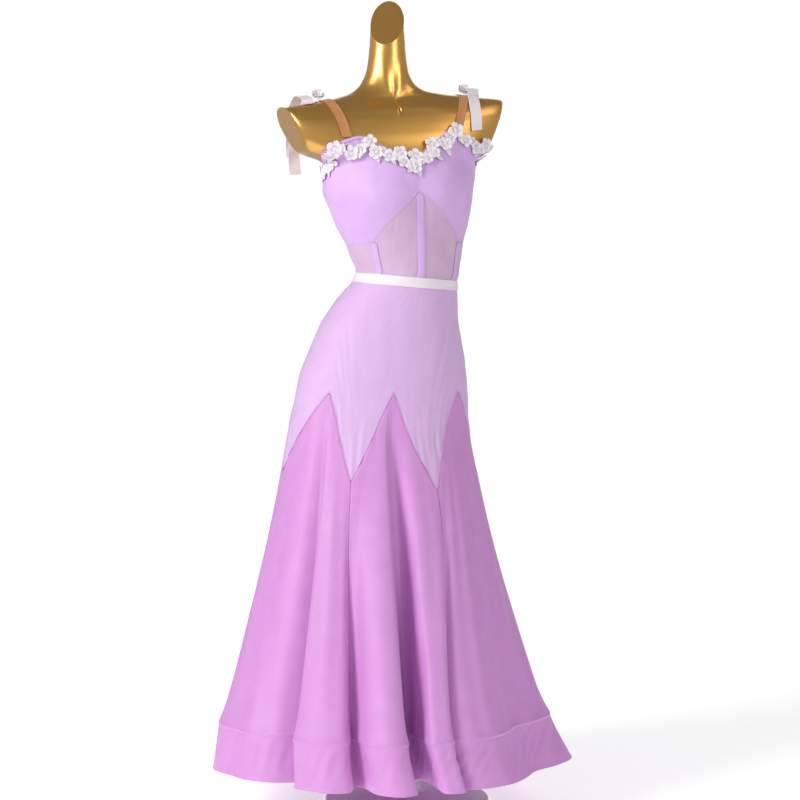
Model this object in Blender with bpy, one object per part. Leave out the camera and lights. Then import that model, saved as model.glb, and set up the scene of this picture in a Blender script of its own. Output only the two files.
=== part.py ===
"""A lilac ballroom dance dress on a limbless gold dress form.

Everything is in metres, +Z up. The origin is on the floor, under the pole, and the dress faces -Y.
A place on the cloth is a thread (degrees round the dress from the centre front, positive towards +X)
and a height. Six godets of sixty threads each make the skirt, so a seam keeps its thread to the hem.
"""

import math

import bmesh
import bpy
import numpy as np
from mathutils import Vector
from mathutils.geometry import delaunay_2d_cdt

# Cloth and clearances
SEAM_GAP = 0.0003
SIDE_GAP = 0.0012
EASE = 0.0009
WALL = 0.0013
STEP = 1e-4

# Heights of the dress
HEM_HEIGHT = 0.100
BAND_TOP = 0.186
RIDGE_HEIGHT = 0.005
RIDGE_RISE = 0.0012
YOKE_POINT = 0.647
LOW_POINT_DROP = 0.018
ZIGZAG = ((0, 0), (7.5, 0.195), (15, 0.47), (22.5, 0.735), (30, 1))
PEAK_THREADS = ((-180, -180), (-90, -90), (-52.5, -60), (-30, -30), (180, 180))
GODET_PEAK = 0.812
WAIST = 1.019
WAIST_SLOPE = -0.077
BODICE_APEX = 1.190
BODICE_SIDE = 1.098
THREAD_STEP = 7.5
HEM_STEP = 0.0247
MESH_THREAD = 7 * THREAD_STEP

# Trim
BELT_WIDTH = 0.019
BINDING_WIDTH = 0.007
BONING_WIDTH = 0.015
BONING_SHORT = 0.04
STRAP_WIDTH = 0.018
STRAP_WALL = 0.0014
STRAP_LIFT = 0.0008
STRAP_COLUMNS = ("name", "side", "front_low", "back_low", "start", "bow")
STRAPS = (
    ("strap_left", -1, 1.2920, 1.222, 0.108, 0.035),
    ("strap_right", 1, 1.3120, 1.222, 0.104, 0.050),
)
STRAP_NEARING = 0.022
STRAP_CLIMB = (-25, 262)
STRAP_SAMPLES = 240
STRAP_ROWS = 19
RIBBON_WIDTH = 0.0225
RIBBON_WALL = 0.0011
RIBBON_ROWS = 13
LACE_WALL = 0.0018
FRONT_LACE_LIFT = 0.0023
BACK_LACE_LIFT = 0.0008
LACE_CROWN = 0.0012
STEM_WIDTH = 0.004
STEM_STEP = 0.009
NEAR_POINTS = 0.0016
LEAST_GAP = 0.004
MERGE = 1e-5
PETALS = 5
PETAL_SHAPE = ((-0.5, 0.60), (-0.24, 1.0), (0.24, 1.0))
LEAF_SHAPE = ((0.0, -0.10), (0.45, -0.22), (1.0, 0.0), (0.45, 0.22), (0.0, 0.10))
THREAD_TO_PLANE = 0.0025
BONING_LIFT = 0.0007
NEAR_WAIST = (BELT_WIDTH / 2, 0.022, 0.038, 0.056)
NEAR_TOP = (0.009, 0.019, 0.031)
BELT_WALL = 0.0013
BONING_WALL = 0.0012

# Stand
POLE_RADIUS = 0.0125
BASE_RADIUS = 0.160
BASE_THICKNESS = 0.008
BASE_CROWN = 0.020
BOSS_RADIUS = 0.026
BOSS_HEIGHT = 0.050
FORM_BOTTOM = 0.655

# The figure, which the upper dress lies on, and the flare of the skirt below the hip.
SECTION_COLUMNS = ("height", "centre_x", "half_width", "front", "back", "squareness", "turn", "tilt")
SKIRT_SECTIONS = (
    (0.100, -0.026, 0.334, 0.325, 0.325, 2.0, 0.0, 0.0),
    (0.186, -0.042, 0.304, 0.292, 0.292, 2.0, 0.0, 0.0),
    (0.279, -0.046, 0.276, 0.262, 0.265, 2.0, 0.0, 0.0),
    (0.396, -0.050, 0.246, 0.226, 0.232, 2.0, 0.0, 0.0),
    (0.513, -0.053, 0.2185, 0.188, 0.198, 2.0, 0.0, 0.0),
    (0.630, -0.055, 0.194, 0.150, 0.164, 2.0, 0.0, 0.0),
    (0.700, -0.056, 0.1805, 0.129, 0.146, 2.0, 0.0, 0.0),
    (0.747, -0.0545, 0.1735, 0.116, 0.135, 2.05, 0.0, 0.0),
)
BODY_SECTIONS = (
    (0.794, -0.0505, 0.1675, 0.108, 0.128, 2.1, 0.0, 0.0),
    (0.841, -0.047, 0.1605, 0.106, 0.127, 2.1, 0.0, 0.0),
    (0.887, -0.041, 0.1485, 0.103, 0.121, 2.1, 0.0, 0.0),
    (0.934, -0.035, 0.1340, 0.096, 0.110, 2.1, 0.5, 0.0),
    (0.981, -0.021, 0.1180, 0.087, 0.094, 2.1, 2.0, 0.0),
    (1.004, -0.012, 0.1080, 0.084, 0.086, 2.1, 3.5, 0.0),
    (1.022, -0.004, 0.0995, 0.083, 0.082, 2.1, 5.0, 0.0),
    (1.040, 0.001, 0.0990, 0.084, 0.081, 2.1, 6.0, 0.0),
    (1.067, -0.0025, 0.1065, 0.088, 0.083, 2.1, 7.0, 0.0),
    (1.098, -0.0065, 0.1150, 0.095, 0.086, 2.1, 8.0, 0.0),
    (1.129, -0.0115, 0.1275, 0.104, 0.090, 2.15, 8.0, 0.0),
    (1.160, -0.0150, 0.1355, 0.113, 0.094, 2.2, 8.0, 0.0),
    (1.192, -0.0195, 0.1445, 0.117, 0.096, 2.2, 8.0, 0.0),
    (1.223, -0.0165, 0.1465, 0.114, 0.097, 2.25, 8.0, 0.5),
    (1.248, -0.0180, 0.1490, 0.107, 0.096, 2.3, 7.5, 1.0),
)
SHOULDER_SECTIONS = (
    (1.275, -0.026, 0.1960, 0.098, 0.095, 2.6, 7.0, 2.0),
    (1.305, -0.031, 0.2260, 0.090, 0.092, 2.8, 6.5, 3.0),
    (1.332, -0.035, 0.2420, 0.079, 0.087, 3.0, 6.0, 3.4),
    (1.348, -0.036, 0.2440, 0.067, 0.078, 3.0, 6.0, 3.6),
    (1.359, -0.037, 0.2300, 0.056, 0.067, 2.8, 6.0, 3.6),
    (1.367, -0.038, 0.1800, 0.048, 0.058, 2.6, 6.0, 3.6),
    (1.375, -0.039, 0.1180, 0.042, 0.050, 2.4, 6.0, 3.6),
    (1.386, -0.038, 0.0720, 0.039, 0.044, 2.1, 6.0, 3.0),
    (1.401, -0.0385, 0.0530, 0.038, 0.041, 2.0, 6.0, 2.0),
    (1.428, -0.0385, 0.0405, 0.037, 0.039, 2.0, 6.0, 0.0),
    (1.475, -0.0385, 0.0345, 0.036, 0.037, 2.0, 6.0, 0.0),
    (1.530, -0.0390, 0.0315, 0.036, 0.036, 2.0, 6.0, 0.0),
    (1.600, -0.0395, 0.0300, 0.035, 0.035, 2.0, 6.0, 0.0),
)
SEAT_SECTIONS = (
    (0.655, 0.000, 0.0240, 0.024, 0.024, 2.0, 0.0, 0.0),
    (0.667, 0.000, 0.0250, 0.025, 0.025, 2.0, 0.0, 0.0),
    (0.676, -0.012, 0.0640, 0.046, 0.056, 2.0, 0.0, 0.0),
    (0.690, -0.034, 0.1100, 0.074, 0.088, 2.1, 0.0, 0.0),
    (0.715, -0.046, 0.1430, 0.092, 0.110, 2.1, 0.0, 0.0),
    (0.752, -0.050, 0.1620, 0.104, 0.124, 2.1, 0.0, 0.0),
)

NECKLINE_COLUMNS = ("thread", "height")
NECKLINE = (
    (-180, 1.205),
    (-140, 1.213),
    (-115, 1.228),
    (-95, 1.247),
    (-75, 1.262),
    (-62, 1.276),
    (-53, 1.291),
    (-45, 1.299),
    (-37, 1.285),
    (-20, 1.267),
    (-10, 1.260),
    (0, 1.257),
    (9, 1.262),
    (18, 1.271),
    (32, 1.287),
    (38, 1.296),
    (45, 1.306),
    (52, 1.294),
    (58, 1.282),
    (68, 1.272),
    (82, 1.261),
    (98, 1.247),
    (118, 1.229),
    (140, 1.213),
    (180, 1.205),
)

# The bust: one soft mound on each side of the centre front.
CUP_THREAD = 33.0
CUP_SPREAD = 24.0
CUP_HEIGHT = 1.186
CUP_RISE = 0.044
CUP_DEPTH = 0.013

# Lace flowers in front, in the order that their stem joins them, and leaves that start at a place on it.
FLOWER_COLUMNS = ("thread", "height", "radius", "turn")
FRONT_FLOWERS = (
    (-101, 1.224, 0.011, 10),
    (-90, 1.229, 0.010, 70),
    (-80, 1.240, 0.011, 40),
    (-71, 1.253, 0.011, 20),
    (-65, 1.265, 0.010, 50),
    (-58, 1.276, 0.014, 0),
    (-52, 1.267, 0.011, 30),
    (-46, 1.272, 0.010, 55),
    (-40, 1.286, 0.012, 10),
    (-37, 1.265, 0.012, 45),
    (-28, 1.257, 0.012, 20),
    (-17, 1.262, 0.012, 60),
    (-15, 1.244, 0.011, 5),
    (-4, 1.236, 0.013, 35),
    (0, 1.256, 0.013, 15),
    (12, 1.251, 0.010, 50),
    (23, 1.262, 0.011, 25),
    (26, 1.277, 0.013, 0),
    (37, 1.278, 0.012, 40),
    (42, 1.290, 0.010, 10),
    (46, 1.303, 0.014, 30),
    (50, 1.285, 0.011, 55),
    (56, 1.274, 0.011, 20),
    (62, 1.278, 0.012, 45),
    (74, 1.259, 0.011, 5),
    (87, 1.247, 0.012, 30),
)
LEAF_COLUMNS = ("flower", "length", "points_to")
LEAVES = (
    (0, 0.027, 118),
    (2, 0.019, -95),
    (9, 0.021, -80),
    (10, 0.020, -60),
    (13, 0.021, -150),
    (13, 0.021, -65),
    (16, 0.021, -45),
    (18, 0.024, -72),
    (22, 0.018, -80),
    (24, 0.019, -110),
)
BACK_FLOWERS = (106, 246, 11)
BACK_FLOWER_DROP = 0.012
BACK_FLOWER_RADIUS = 0.012

# Loose ribbons and the flowers that stand at the shoulder, laid over it: a place across the chest, an
# angle up from the front and over, and how far at least from the chest's core
ROUTE_COLUMNS = ("across", "climb", "reach")
RIBBON_ROUTES = {
    "ribbon_right": (
        (0.150, -17, 0.0),
        (0.151, 5, 0.0),
        (0.156, 40, 0.0),
        (0.166, 75, 0.0),
        (0.173, 100, 0.0),
        (0.186, 130, 0.0),
        (0.204, 160, 0.078),
        (0.221, 186, 0.092),
        (0.227, 210, 0.104),
    ),
    "ribbon_left_long": (
        (-0.158, 62, 0.0),
        (-0.158, 95, 0.0),
        (-0.159, 130, 0.0),
        (-0.161, 165, 0.0),
        (-0.163, 195, 0.098),
        (-0.163, 224, 0.126),
    ),
    "ribbon_left_short": (
        (-0.170, 50, 0.0),
        (-0.169, 72, 0.050),
        (-0.169, 95, 0.055),
        (-0.169, 125, 0.068),
        (-0.168, 160, 0.092),
        (-0.166, 190, 0.108),
        (-0.164, 206, 0.122),
    ),
}
RIBBON_LIFTS = {"ribbon_right": 0.0010, "ribbon_left_long": 0.0010, "ribbon_left_short": 0.0024}
SHOULDER_FLOWER_COLUMNS = ("name", "across", "climb", "rise", "lean")
SHOULDER_FLOWERS = (
    ("flower_left", -0.142, 84, 0.0165, 40),
    ("flower_right", 0.1545, 84, 0.0165, 40),
)
SHOULDER_FLOWER_RADIUS = 0.0135

# Folds at the hem: the cloth's thread lies at this angle and radius, and its fold starts at this height.
FOLD_COLUMNS = ("thread", "angle", "radius", "start")
FOLDS = (
    (-90, -80, 0.367, 0.62),
    (-78, -69, 0.360, 0.62),
    (-68, -60, 0.353, 0.68),
    (-62, -53, 0.333, 0.78),
    (-57, -47, 0.304, 0.80),
    (-53, -43.5, 0.292, 0.80),
    (-50, -44.5, 0.316, 0.80),
    (-46, -43.5, 0.342, 0.76),
    (-41, -37, 0.350, 0.70),
    (-36, -30, 0.350, 0.66),
    (-33, -26, 0.336, 0.64),
    (-30, -26.5, 0.290, 0.64),
    (-26, -22, 0.296, 0.64),
    (-21, -17, 0.338, 0.66),
    (-16, -12.5, 0.356, 0.70),
    (-10, -7.5, 0.357, 0.76),
    (-6, -5, 0.338, 0.79),
    (-3, -5, 0.288, 0.80),
    (2, -2.5, 0.236, 0.80),
    (8, 2, 0.244, 0.78),
    (13, 3.5, 0.296, 0.76),
    (18, 4, 0.344, 0.68),
    (23, 7, 0.352, 0.64),
    (28, 10, 0.347, 0.62),
    (32, 9, 0.318, 0.62),
    (37, 13.5, 0.336, 0.64),
    (46, 24, 0.342, 0.68),
    (57, 34, 0.331, 0.72),
    (68, 46, 0.313, 0.70),
    (80, 58, 0.332, 0.64),
    (90, 69, 0.346, 0.60),
    (100, 82, 0.322, 0.66),
    (110, 93, 0.296, 0.74),
    (120, 104, 0.346, 0.74),
    (130, 116, 0.338, 0.68),
    (140, 127, 0.292, 0.62),
    (150, 138, 0.348, 0.60),
    (161, 151, 0.330, 0.68),
    (171, 161, 0.288, 0.76),
    (181, 173, 0.346, 0.78),
    (192, 187, 0.340, 0.72),
    (201, 195, 0.286, 0.66),
    (210, 206, 0.344, 0.60),
    (221, 219, 0.334, 0.66),
    (232, 231, 0.290, 0.74),
    (243, 244, 0.346, 0.72),
    (256, 258, 0.330, 0.66),
    (263, 270, 0.346, 0.62),
)

# The form: its rings' heights, how far it stays inside the cloth's place, its arms' flat cuts and its
# neck's slanting one
FORM_RINGS = (
    0.655, 0.667, 0.676, 0.690, 0.715, 0.752, 0.794, 0.841, 0.887, 0.934, 0.981, 1.004, 1.022, 1.040,
    1.058, 1.082, 1.115, 1.145, 1.170, 1.195, 1.222, 1.248, 1.257, 1.267, 1.282, 1.305, 1.327, 1.343,
    1.353, 1.361, 1.368, 1.376, 1.386, 1.401, 1.428, 1.475, 1.530, 1.600,
)
FORM_COLUMNS = 28
FORM_SLACK = (
    (0.655, 0.0),
    (0.72, 0.003),
    (0.98, 0.003),
    (1.03, 0.0008),
    (1.08, 0.0010),
    (1.17, 0.0023),
    (1.25, 0.0024),
    (1.305, 0.0022),
    (1.345, 0.0),
)
ARM_HEIGHTS = (1.250, 1.362)
ARM_CUT_COLUMNS = ("name", "side", "reach_low", "reach_high")
ARM_CUTS = (("arm_cut_left", -1, 0.171, 0.213), ("arm_cut_right", 1, 0.181, 0.2255))
ARM_CUT_SPARE = 0.012
ARM_CUT_SIZE = (0.15, 0.30)
NECK_CUT_SIZE = (0.20, 0.30, 0.24)
NECK_CUT = 1.521
NECK_SLOPE = 52.0
NECK_FACING = -24.0
SHOULDER_CORE = 1.325
SHOULDER_REACH = 0.16
CHEST_HEIGHT = 1.332
HALVINGS = 40
STRAP_BOW_SPEED = 1.15

MATERIALS = {
    "stretch": ((0.62, 0.40, 0.80), 0.55, 0.0),
    "mesh": ((0.58, 0.40, 0.56), 0.70, 0.0),
    "satin": ((0.62, 0.34, 0.70), 0.45, 0.0),
    "ribbon": ((0.87, 0.80, 0.82), 0.40, 0.0),
    "strap": ((0.50, 0.22, 0.09), 0.45, 0.0),
    "lace": ((0.93, 0.88, 0.92), 0.80, 0.0),
    "gold": ((0.60, 0.33, 0.09), 0.22, 0.9),
    "steel": ((0.35, 0.33, 0.34), 0.35, 1.0),
}


def clear_scene():
    for old in list(bpy.data.objects):
        bpy.data.objects.remove(old, do_unlink=True)


def finish(name):
    """The named finish as a Principled material."""
    if name in bpy.data.materials:
        return bpy.data.materials[name]
    colour, roughness, metallic = MATERIALS[name]
    material = bpy.data.materials.new(name)
    material.use_nodes = True
    shader = material.node_tree.nodes["Principled BSDF"]
    shader.inputs["Base Color"].default_value = (*colour, 1.0)
    shader.inputs["Roughness"].default_value = roughness
    shader.inputs["Metallic"].default_value = metallic
    return material


def solid(name, points, faces, finish_name):
    mesh = bpy.data.meshes.new(name)
    mesh.from_pydata([tuple(p) for p in points], [], [tuple(f) for f in faces])
    mesh.materials.append(finish(finish_name))
    mesh.shade_smooth()
    mesh.set_sharp_from_angle(angle=math.radians(40))
    made = bpy.data.objects.new(name, mesh)
    bpy.context.collection.objects.link(made)
    return made


def smooth(at, knots, values):
    """A curve through the values that never passes them: cubic, with slopes set as a harmonic mean."""
    knots = np.asarray(knots, float)
    values = np.asarray(values, float)
    width = np.diff(knots)
    rise = np.diff(values) / width
    slope = np.zeros(len(knots))
    before, after = rise[:-1], rise[1:]
    same = before * after > 0
    slope[1:-1][same] = 2 * before[same] * after[same] / (before[same] + after[same])
    slope[0], slope[-1] = rise[0], rise[-1]
    at = np.clip(np.asarray(at, float), knots[0], knots[-1])
    i = np.clip(np.searchsorted(knots, at, side="right") - 1, 0, len(width) - 1)
    u = (at - knots[i]) / width[i]
    return (
        (1 + 2 * u) * (1 - u) ** 2 * values[i]
        + u * (1 - u) ** 2 * width[i] * slope[i]
        + u * u * (3 - 2 * u) * values[i + 1]
        + u * u * (u - 1) * width[i] * slope[i + 1]
    )


def sized(sections, height):
    """The columns of a section table at these heights."""
    rows = np.array(sections)
    return {
        name: smooth(height, rows[:, 0], rows[:, i]) for i, name in enumerate(SECTION_COLUMNS) if i
    }


def section_point(at, angle, height):
    """A point of the rounded section at an angle in radians: an ellipse pushed out to its squareness."""
    sine, cosine = np.sin(angle), np.cos(angle)
    power = at["squareness"]
    push = (np.abs(sine) ** power + np.abs(cosine) ** power) ** (-1 / power)
    depth = np.where(cosine > 0, at["front"], at["back"])
    x = at["half_width"] * push * sine
    y = -depth * push * cosine
    turn = np.radians(at["turn"])
    return np.stack(
        [
            at["centre_x"] + x * np.cos(turn) - y * np.sin(turn),
            x * np.sin(turn) + y * np.cos(turn),
            height + np.tan(np.radians(at["tilt"])) * x,
        ],
        axis=-1,
    )


def cup_rise(thread, height):
    """How far the two mounds stand out."""
    turned = (np.asarray(thread) + 180) % 360 - 180
    up = (height - CUP_HEIGHT) / CUP_RISE
    round_about = (np.abs(turned) - CUP_THREAD) / CUP_SPREAD
    return CUP_DEPTH * np.exp(-(up**2) - round_about**2)


def thread_angle(thread, at):
    """A section's angle for a thread, so that equal threads take about equal lengths of cloth."""
    depth = (at["front"] + at["back"]) / 2
    flat = 0.9 * (at["half_width"] - depth) / (at["half_width"] + depth)
    angle = np.radians(thread)
    return angle - flat * np.sin(2 * angle)


def body_point(thread, height, sections, slack=0.0):
    at = sized(sections, height)
    angle = thread_angle(thread, at)
    point = section_point(at, angle, height)
    turned = angle + np.radians(at["turn"])
    out = np.stack([np.sin(turned), -np.cos(turned), np.zeros_like(turned)], axis=-1)
    return point + out * (cup_rise(thread, height) - slack)[..., None]


def round_curve(at, knots, values):
    """A closed smooth curve through the values, over a turn of 360, with the slope of the neighbours."""
    knots = np.asarray(knots, float)
    values = np.asarray(values, float)
    knots = np.concatenate([knots[-2:] - 360, knots, knots[:2] + 360])
    values = np.concatenate([values[-2:], values, values[:2]])
    slope = np.gradient(values, knots)
    at = (np.asarray(at, float) - knots[2]) % 360 + knots[2]
    i = np.clip(np.searchsorted(knots, at, side="right") - 1, 0, len(knots) - 2)
    width = knots[i + 1] - knots[i]
    u = (at - knots[i]) / width
    return (
        (1 + 2 * u) * (1 - u) ** 2 * values[i]
        + u * (1 - u) ** 2 * width * slope[i]
        + u * u * (3 - 2 * u) * values[i + 1]
        + u * u * (u - 1) * width * slope[i + 1]
    )


DRESS_SECTIONS = SKIRT_SECTIONS + BODY_SECTIONS + SHOULDER_SECTIONS[:2]
FORM_SECTIONS = SEAT_SECTIONS + BODY_SECTIONS + SHOULDER_SECTIONS


def fold_shift(thread):
    """From the plain hem to the folded one, in plan, at a thread."""
    rows = np.array(FOLDS)
    angle = np.radians(rows[:, 1])
    centre_x = SKIRT_SECTIONS[0][1]
    folded_x = round_curve(thread, rows[:, 0], centre_x + rows[:, 2] * np.sin(angle))
    folded_y = round_curve(thread, rows[:, 0], -rows[:, 2] * np.cos(angle))
    plain = body_point(thread, np.full(np.shape(thread), HEM_HEIGHT), DRESS_SECTIONS)
    return np.stack([folded_x - plain[..., 0], folded_y - plain[..., 1], 0 * folded_x], axis=-1)


def fold_growth(thread, height):
    """Nothing at the height where the fold starts, all of it at the hem."""
    rows = np.array(FOLDS)
    start = round_curve(thread, rows[:, 0], rows[:, 3])
    down = np.clip((start - height) / (start - HEM_HEIGHT), 0, 1)
    return down * down * (3 - 2 * down) * 0.35 + down**1.1 * 0.65


def cloth_point(thread, height):
    point = body_point(thread, height, DRESS_SECTIONS)
    return point + fold_shift(thread) * fold_growth(thread, height)[..., None]


def cloth_normal(thread, height):
    """The outward normal, from the cloth's slope along the thread and up."""
    along = cloth_point(thread + STEP * 100, height) - cloth_point(thread - STEP * 100, height)
    up = cloth_point(thread, height + STEP) - cloth_point(thread, height - STEP)
    normal = np.cross(along, up)
    return normal / np.linalg.norm(normal, axis=-1, keepdims=True)


def moved_out(thread, height, distance):
    """The cloth's points moved out by a distance, each along its normal."""
    distance = np.broadcast_to(distance, np.shape(thread))
    return cloth_point(thread, height) + cloth_normal(thread, height) * distance[..., None]


def grid_faces(rows, columns, first, closed, turned):
    """Triangles of a grid of points, split alike on both sides of a wall; they face in where turned."""
    faces = []
    for i in range(rows - 1):
        for j in range(columns if closed else columns - 1):
            k = (j + 1) % columns
            low, low_next = first + i * columns + j, first + i * columns + k
            high, high_next = low + columns, low_next + columns
            for face in ([low, low_next, high_next], [low, high_next, high]):
                faces.append(face[::-1] if turned else face)
    return faces


def walled(name, inner, outer, finish_name, closed=False):
    """A wall between two grids of points, whose rows run from low to high."""
    rows, columns = outer.shape[:2]
    count = rows * columns
    points = np.concatenate([outer.reshape(-1, 3), inner.reshape(-1, 3)])
    faces = grid_faces(rows, columns, 0, closed, False)
    faces += grid_faces(rows, columns, count, closed, True)
    for j in range(columns if closed else columns - 1):
        k = (j + 1) % columns
        top = (rows - 1) * columns
        faces.append([k, j, count + j, count + k])
        faces.append([top + j, top + k, count + top + k, count + top + j])
    if not closed:
        for i in range(rows - 1):
            low, high = i * columns, (i + 1) * columns
            faces.append([low, high, count + high, count + low])
            low, high = low + columns - 1, high + columns - 1
            faces.append([high, low, count + low, count + high])
    return solid(name, points, faces, finish_name)


def parted(thread, height, gap=SEAM_GAP):
    """The threads of a grid whose two sides are moved in by half a seam gap."""
    thread = np.array(np.broadcast_to(thread, height.shape), float)
    half = 0.5
    reach = np.linalg.norm(cloth_point(thread + half, height) - cloth_point(thread - half, height), axis=-1)
    thread[:, 0] += gap / 2 / reach[:, 0]
    thread[:, -1] -= gap / 2 / reach[:, -1]
    return thread


def panel_rows(low, high, shares, near_low=(), near_high=()):
    """Heights of rows between two edges: at the given rises from the low edge and drops from the high
    one, and at equal shares between those."""
    first = low + (near_low[-1] if near_low else 0)
    last = high - (near_high[-1] if near_high else 0)
    rows = [low + rise for rise in (0, *near_low[:-1])] if near_low else []
    rows += [first + (last - first) * share for share in np.linspace(0, 1, shares)]
    rows += [high - drop for drop in (*near_high[:-1][::-1], 0)] if near_high else []
    return np.array(rows)


def panel(name, threads, height, finish_name, gap=SEAM_GAP):
    """A wall of cloth over rows of heights, one for each thread."""
    thread = parted(threads, height, gap)
    return walled(
        name, moved_out(thread, height, EASE), moved_out(thread, height, EASE + WALL), finish_name
    )


def threads_between(first, last):
    return np.arange(first, last + THREAD_STEP / 2, THREAD_STEP)


def hem_threads(first, last):
    """The shared threads, with more between them where the folded hem takes more cloth."""
    found = [first]
    for start in np.arange(first, last - THREAD_STEP / 2, THREAD_STEP):
        fine = np.linspace(start, start + THREAD_STEP, 40)
        points = cloth_point(fine, np.full(40, HEM_HEIGHT))
        length = np.concatenate([[0], np.cumsum(np.linalg.norm(np.diff(points, axis=0), axis=1))])
        count = max(2, round(length[-1] / HEM_STEP))
        found += list(np.interp(np.linspace(0, length[-1], count + 1)[1:], length, fine))
    return np.array(found)


def waist_line(thread):
    at = np.full(np.shape(thread), WAIST)
    return WAIST + WAIST_SLOPE * (cloth_point(thread, at)[..., 0])


def yoke_edge(thread):
    """The zigzag under the hip, straight between the shared threads: godet peaks near each sixty
    threads and yoke points half way between, the one in front on the wearer's left lower."""
    shared = np.arange(-180, 181, THREAD_STEP)
    even = np.interp(shared, *np.array(PEAK_THREADS).T)
    share = np.interp(np.abs((even + 30) % 60 - 30), *np.array(ZIGZAG).T)
    point = YOKE_POINT - LOW_POINT_DROP * np.clip(1 - np.abs(shared - 30) / 30, 0, 1)
    heights = GODET_PEAK + (point - GODET_PEAK) * share
    return np.interp((np.asarray(thread) + 180) % 360 - 180, shared, heights)


def neckline(thread):
    """The bodice's top edge: a dip at the centre front, a point at each strap, lower at sides and back."""
    turned = (np.asarray(thread, float) + 180) % 360 - 180
    return smooth(turned, *np.array(NECKLINE).T)


def bodice_edge(thread):
    """The bodice's lower edge in front: a point upwards at the centre, level beside the mesh."""
    share = np.clip(np.abs(thread) / MESH_THREAD, 0, 1)
    slope = BODICE_APEX + (BODICE_SIDE - BODICE_APEX) * (share**1.08)
    beyond = np.clip(np.abs(thread) - MESH_THREAD, 0, None)
    return slope - 0.0002 * beyond


def make_bodice():
    threads = threads_between(-90, 90)
    low, top = bodice_edge(threads) + SEAM_GAP, neckline(threads) - BINDING_WIDTH
    panel("bodice_front", threads, panel_rows(low, top, 6, (), NEAR_TOP), "stretch")
    threads = threads_between(90, 270)
    low, top = waist_line(threads) + SEAM_GAP, neckline(threads) - BINDING_WIDTH
    panel("bodice_back", threads, panel_rows(low, top, 6, NEAR_WAIST), "stretch", SIDE_GAP)
    for name, first, last in (
        ("mesh_left", -90, -MESH_THREAD),
        ("mesh_centre", -MESH_THREAD, MESH_THREAD),
        ("mesh_right", MESH_THREAD, 90),
    ):
        threads = threads_between(first, last)
        panel(name, threads, mesh_rows(threads), "mesh")
    threads = threads_between(-180, 180)[:-1]
    height = np.array([neckline(threads) - BINDING_WIDTH + 1.5 * SEAM_GAP, neckline(threads)])
    thread = np.broadcast_to(threads, height.shape)
    inner = moved_out(thread, height, EASE)
    walled("neck_binding", inner, moved_out(thread, height, EASE + WALL), "stretch", True)


def mesh_rows(threads):
    return panel_rows(waist_line(threads) + SEAM_GAP, bodice_edge(threads), 6, NEAR_WAIST)


def make_boning():
    """Channels that lie on the mesh, over the centre front and over the seams beside it."""
    lift = EASE + WALL + BONING_LIFT
    for name, middle, wide in (
        ("boning_left", -MESH_THREAD, BONING_WIDTH * 0.8),
        ("boning_centre", 0.0, BONING_WIDTH),
        ("boning_right", MESH_THREAD, BONING_WIDTH * 0.8),
    ):
        height = mesh_rows(np.array([middle]))[1:]
        at = np.full(height.shape, middle)
        reach = np.linalg.norm(cloth_point(at + 1, height) - cloth_point(at, height), axis=-1)
        thread = middle + np.linspace(-0.5, 0.5, 3)[None, :] * wide / reach
        height = np.stack([mesh_rows(thread[:, column])[1:].diagonal() for column in range(3)], axis=1)
        height[-1] -= (height[-1] - height[-2]) * BONING_SHORT
        height[0] += SEAM_GAP
        inner = moved_out(thread, height, lift)
        walled(name, inner, moved_out(thread, height, lift + BONING_WALL), "stretch")


def make_belt():
    threads = threads_between(-180, 180)[:-1]
    middle = waist_line(threads)
    lift = EASE + WALL + SEAM_GAP
    height = np.array([middle - BELT_WIDTH / 2, middle, middle + BELT_WIDTH / 2])
    thread = np.broadcast_to(threads, height.shape)
    inner = moved_out(thread, height, lift)
    walled("belt", inner, moved_out(thread, height, lift + BELT_WALL), "ribbon", True)


def make_skirt():
    for name, first, last in (("yoke_front", -90, 90), ("yoke_back", 90, 270)):
        threads = threads_between(first, last)
        rows = panel_rows(yoke_edge(threads) + 3.8 * SEAM_GAP, waist_line(threads), 5, (), NEAR_WAIST)
        panel(name, threads, rows, "stretch")
    for i in range(6):
        middle = i * 60 if i < 4 else i * 60 - 360
        threads = hem_threads(middle - 30, middle + 30)
        low = np.full(len(threads), BAND_TOP + 1.5 * SEAM_GAP)
        panel(f"godet_{i + 1}", threads, panel_rows(low, yoke_edge(threads), 8), "satin")
    heights = (HEM_HEIGHT, BAND_TOP - RIDGE_HEIGHT, BAND_TOP - RIDGE_HEIGHT / 2, BAND_TOP)
    rises = (0, 0, RIDGE_RISE, 0)
    for name, first, last in (("hem_band_front", -90, 90), ("hem_band_back", 90, 270)):
        threads = hem_threads(first, last)
        height = np.repeat(np.array(heights)[:, None], len(threads), axis=1)
        rise = np.repeat(np.array(rises)[:, None], len(threads), axis=1)
        thread = parted(threads, height)
        outer = moved_out(thread, height, EASE + WALL + rise)
        walled(name, moved_out(thread, height, EASE), outer, "satin")


def cutter(name, face, normal, across, size):
    """A hidden box with the middle of one face at a point, looking along the normal out of what is kept."""
    out = Vector(normal).normalized()
    side = Vector(across).normalized()
    up = out.cross(side)
    corners = []
    for far in (0, 1):
        for left in (-0.5, 0.5):
            for high in (-0.5, 0.5):
                place = out * far * size[0] + side * left * size[1] + up * high * size[2]
                corners.append(Vector(face) + place)
    faces = [(0, 1, 3, 2), (4, 6, 7, 5), (0, 4, 5, 1), (2, 3, 7, 6), (0, 2, 6, 4), (1, 5, 7, 3)]
    box = solid(name, corners, faces, "gold")
    mesh = bmesh.new()
    mesh.from_mesh(box.data)
    bmesh.ops.recalc_face_normals(mesh, faces=mesh.faces)
    mesh.to_mesh(box.data)
    mesh.free()
    box.hide_render = True
    box.display_type = "WIRE"
    return box


def cut_away(target, box):
    cut = target.modifiers.new(box.name, "BOOLEAN")
    cut.operation = "DIFFERENCE"
    cut.object = box


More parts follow.
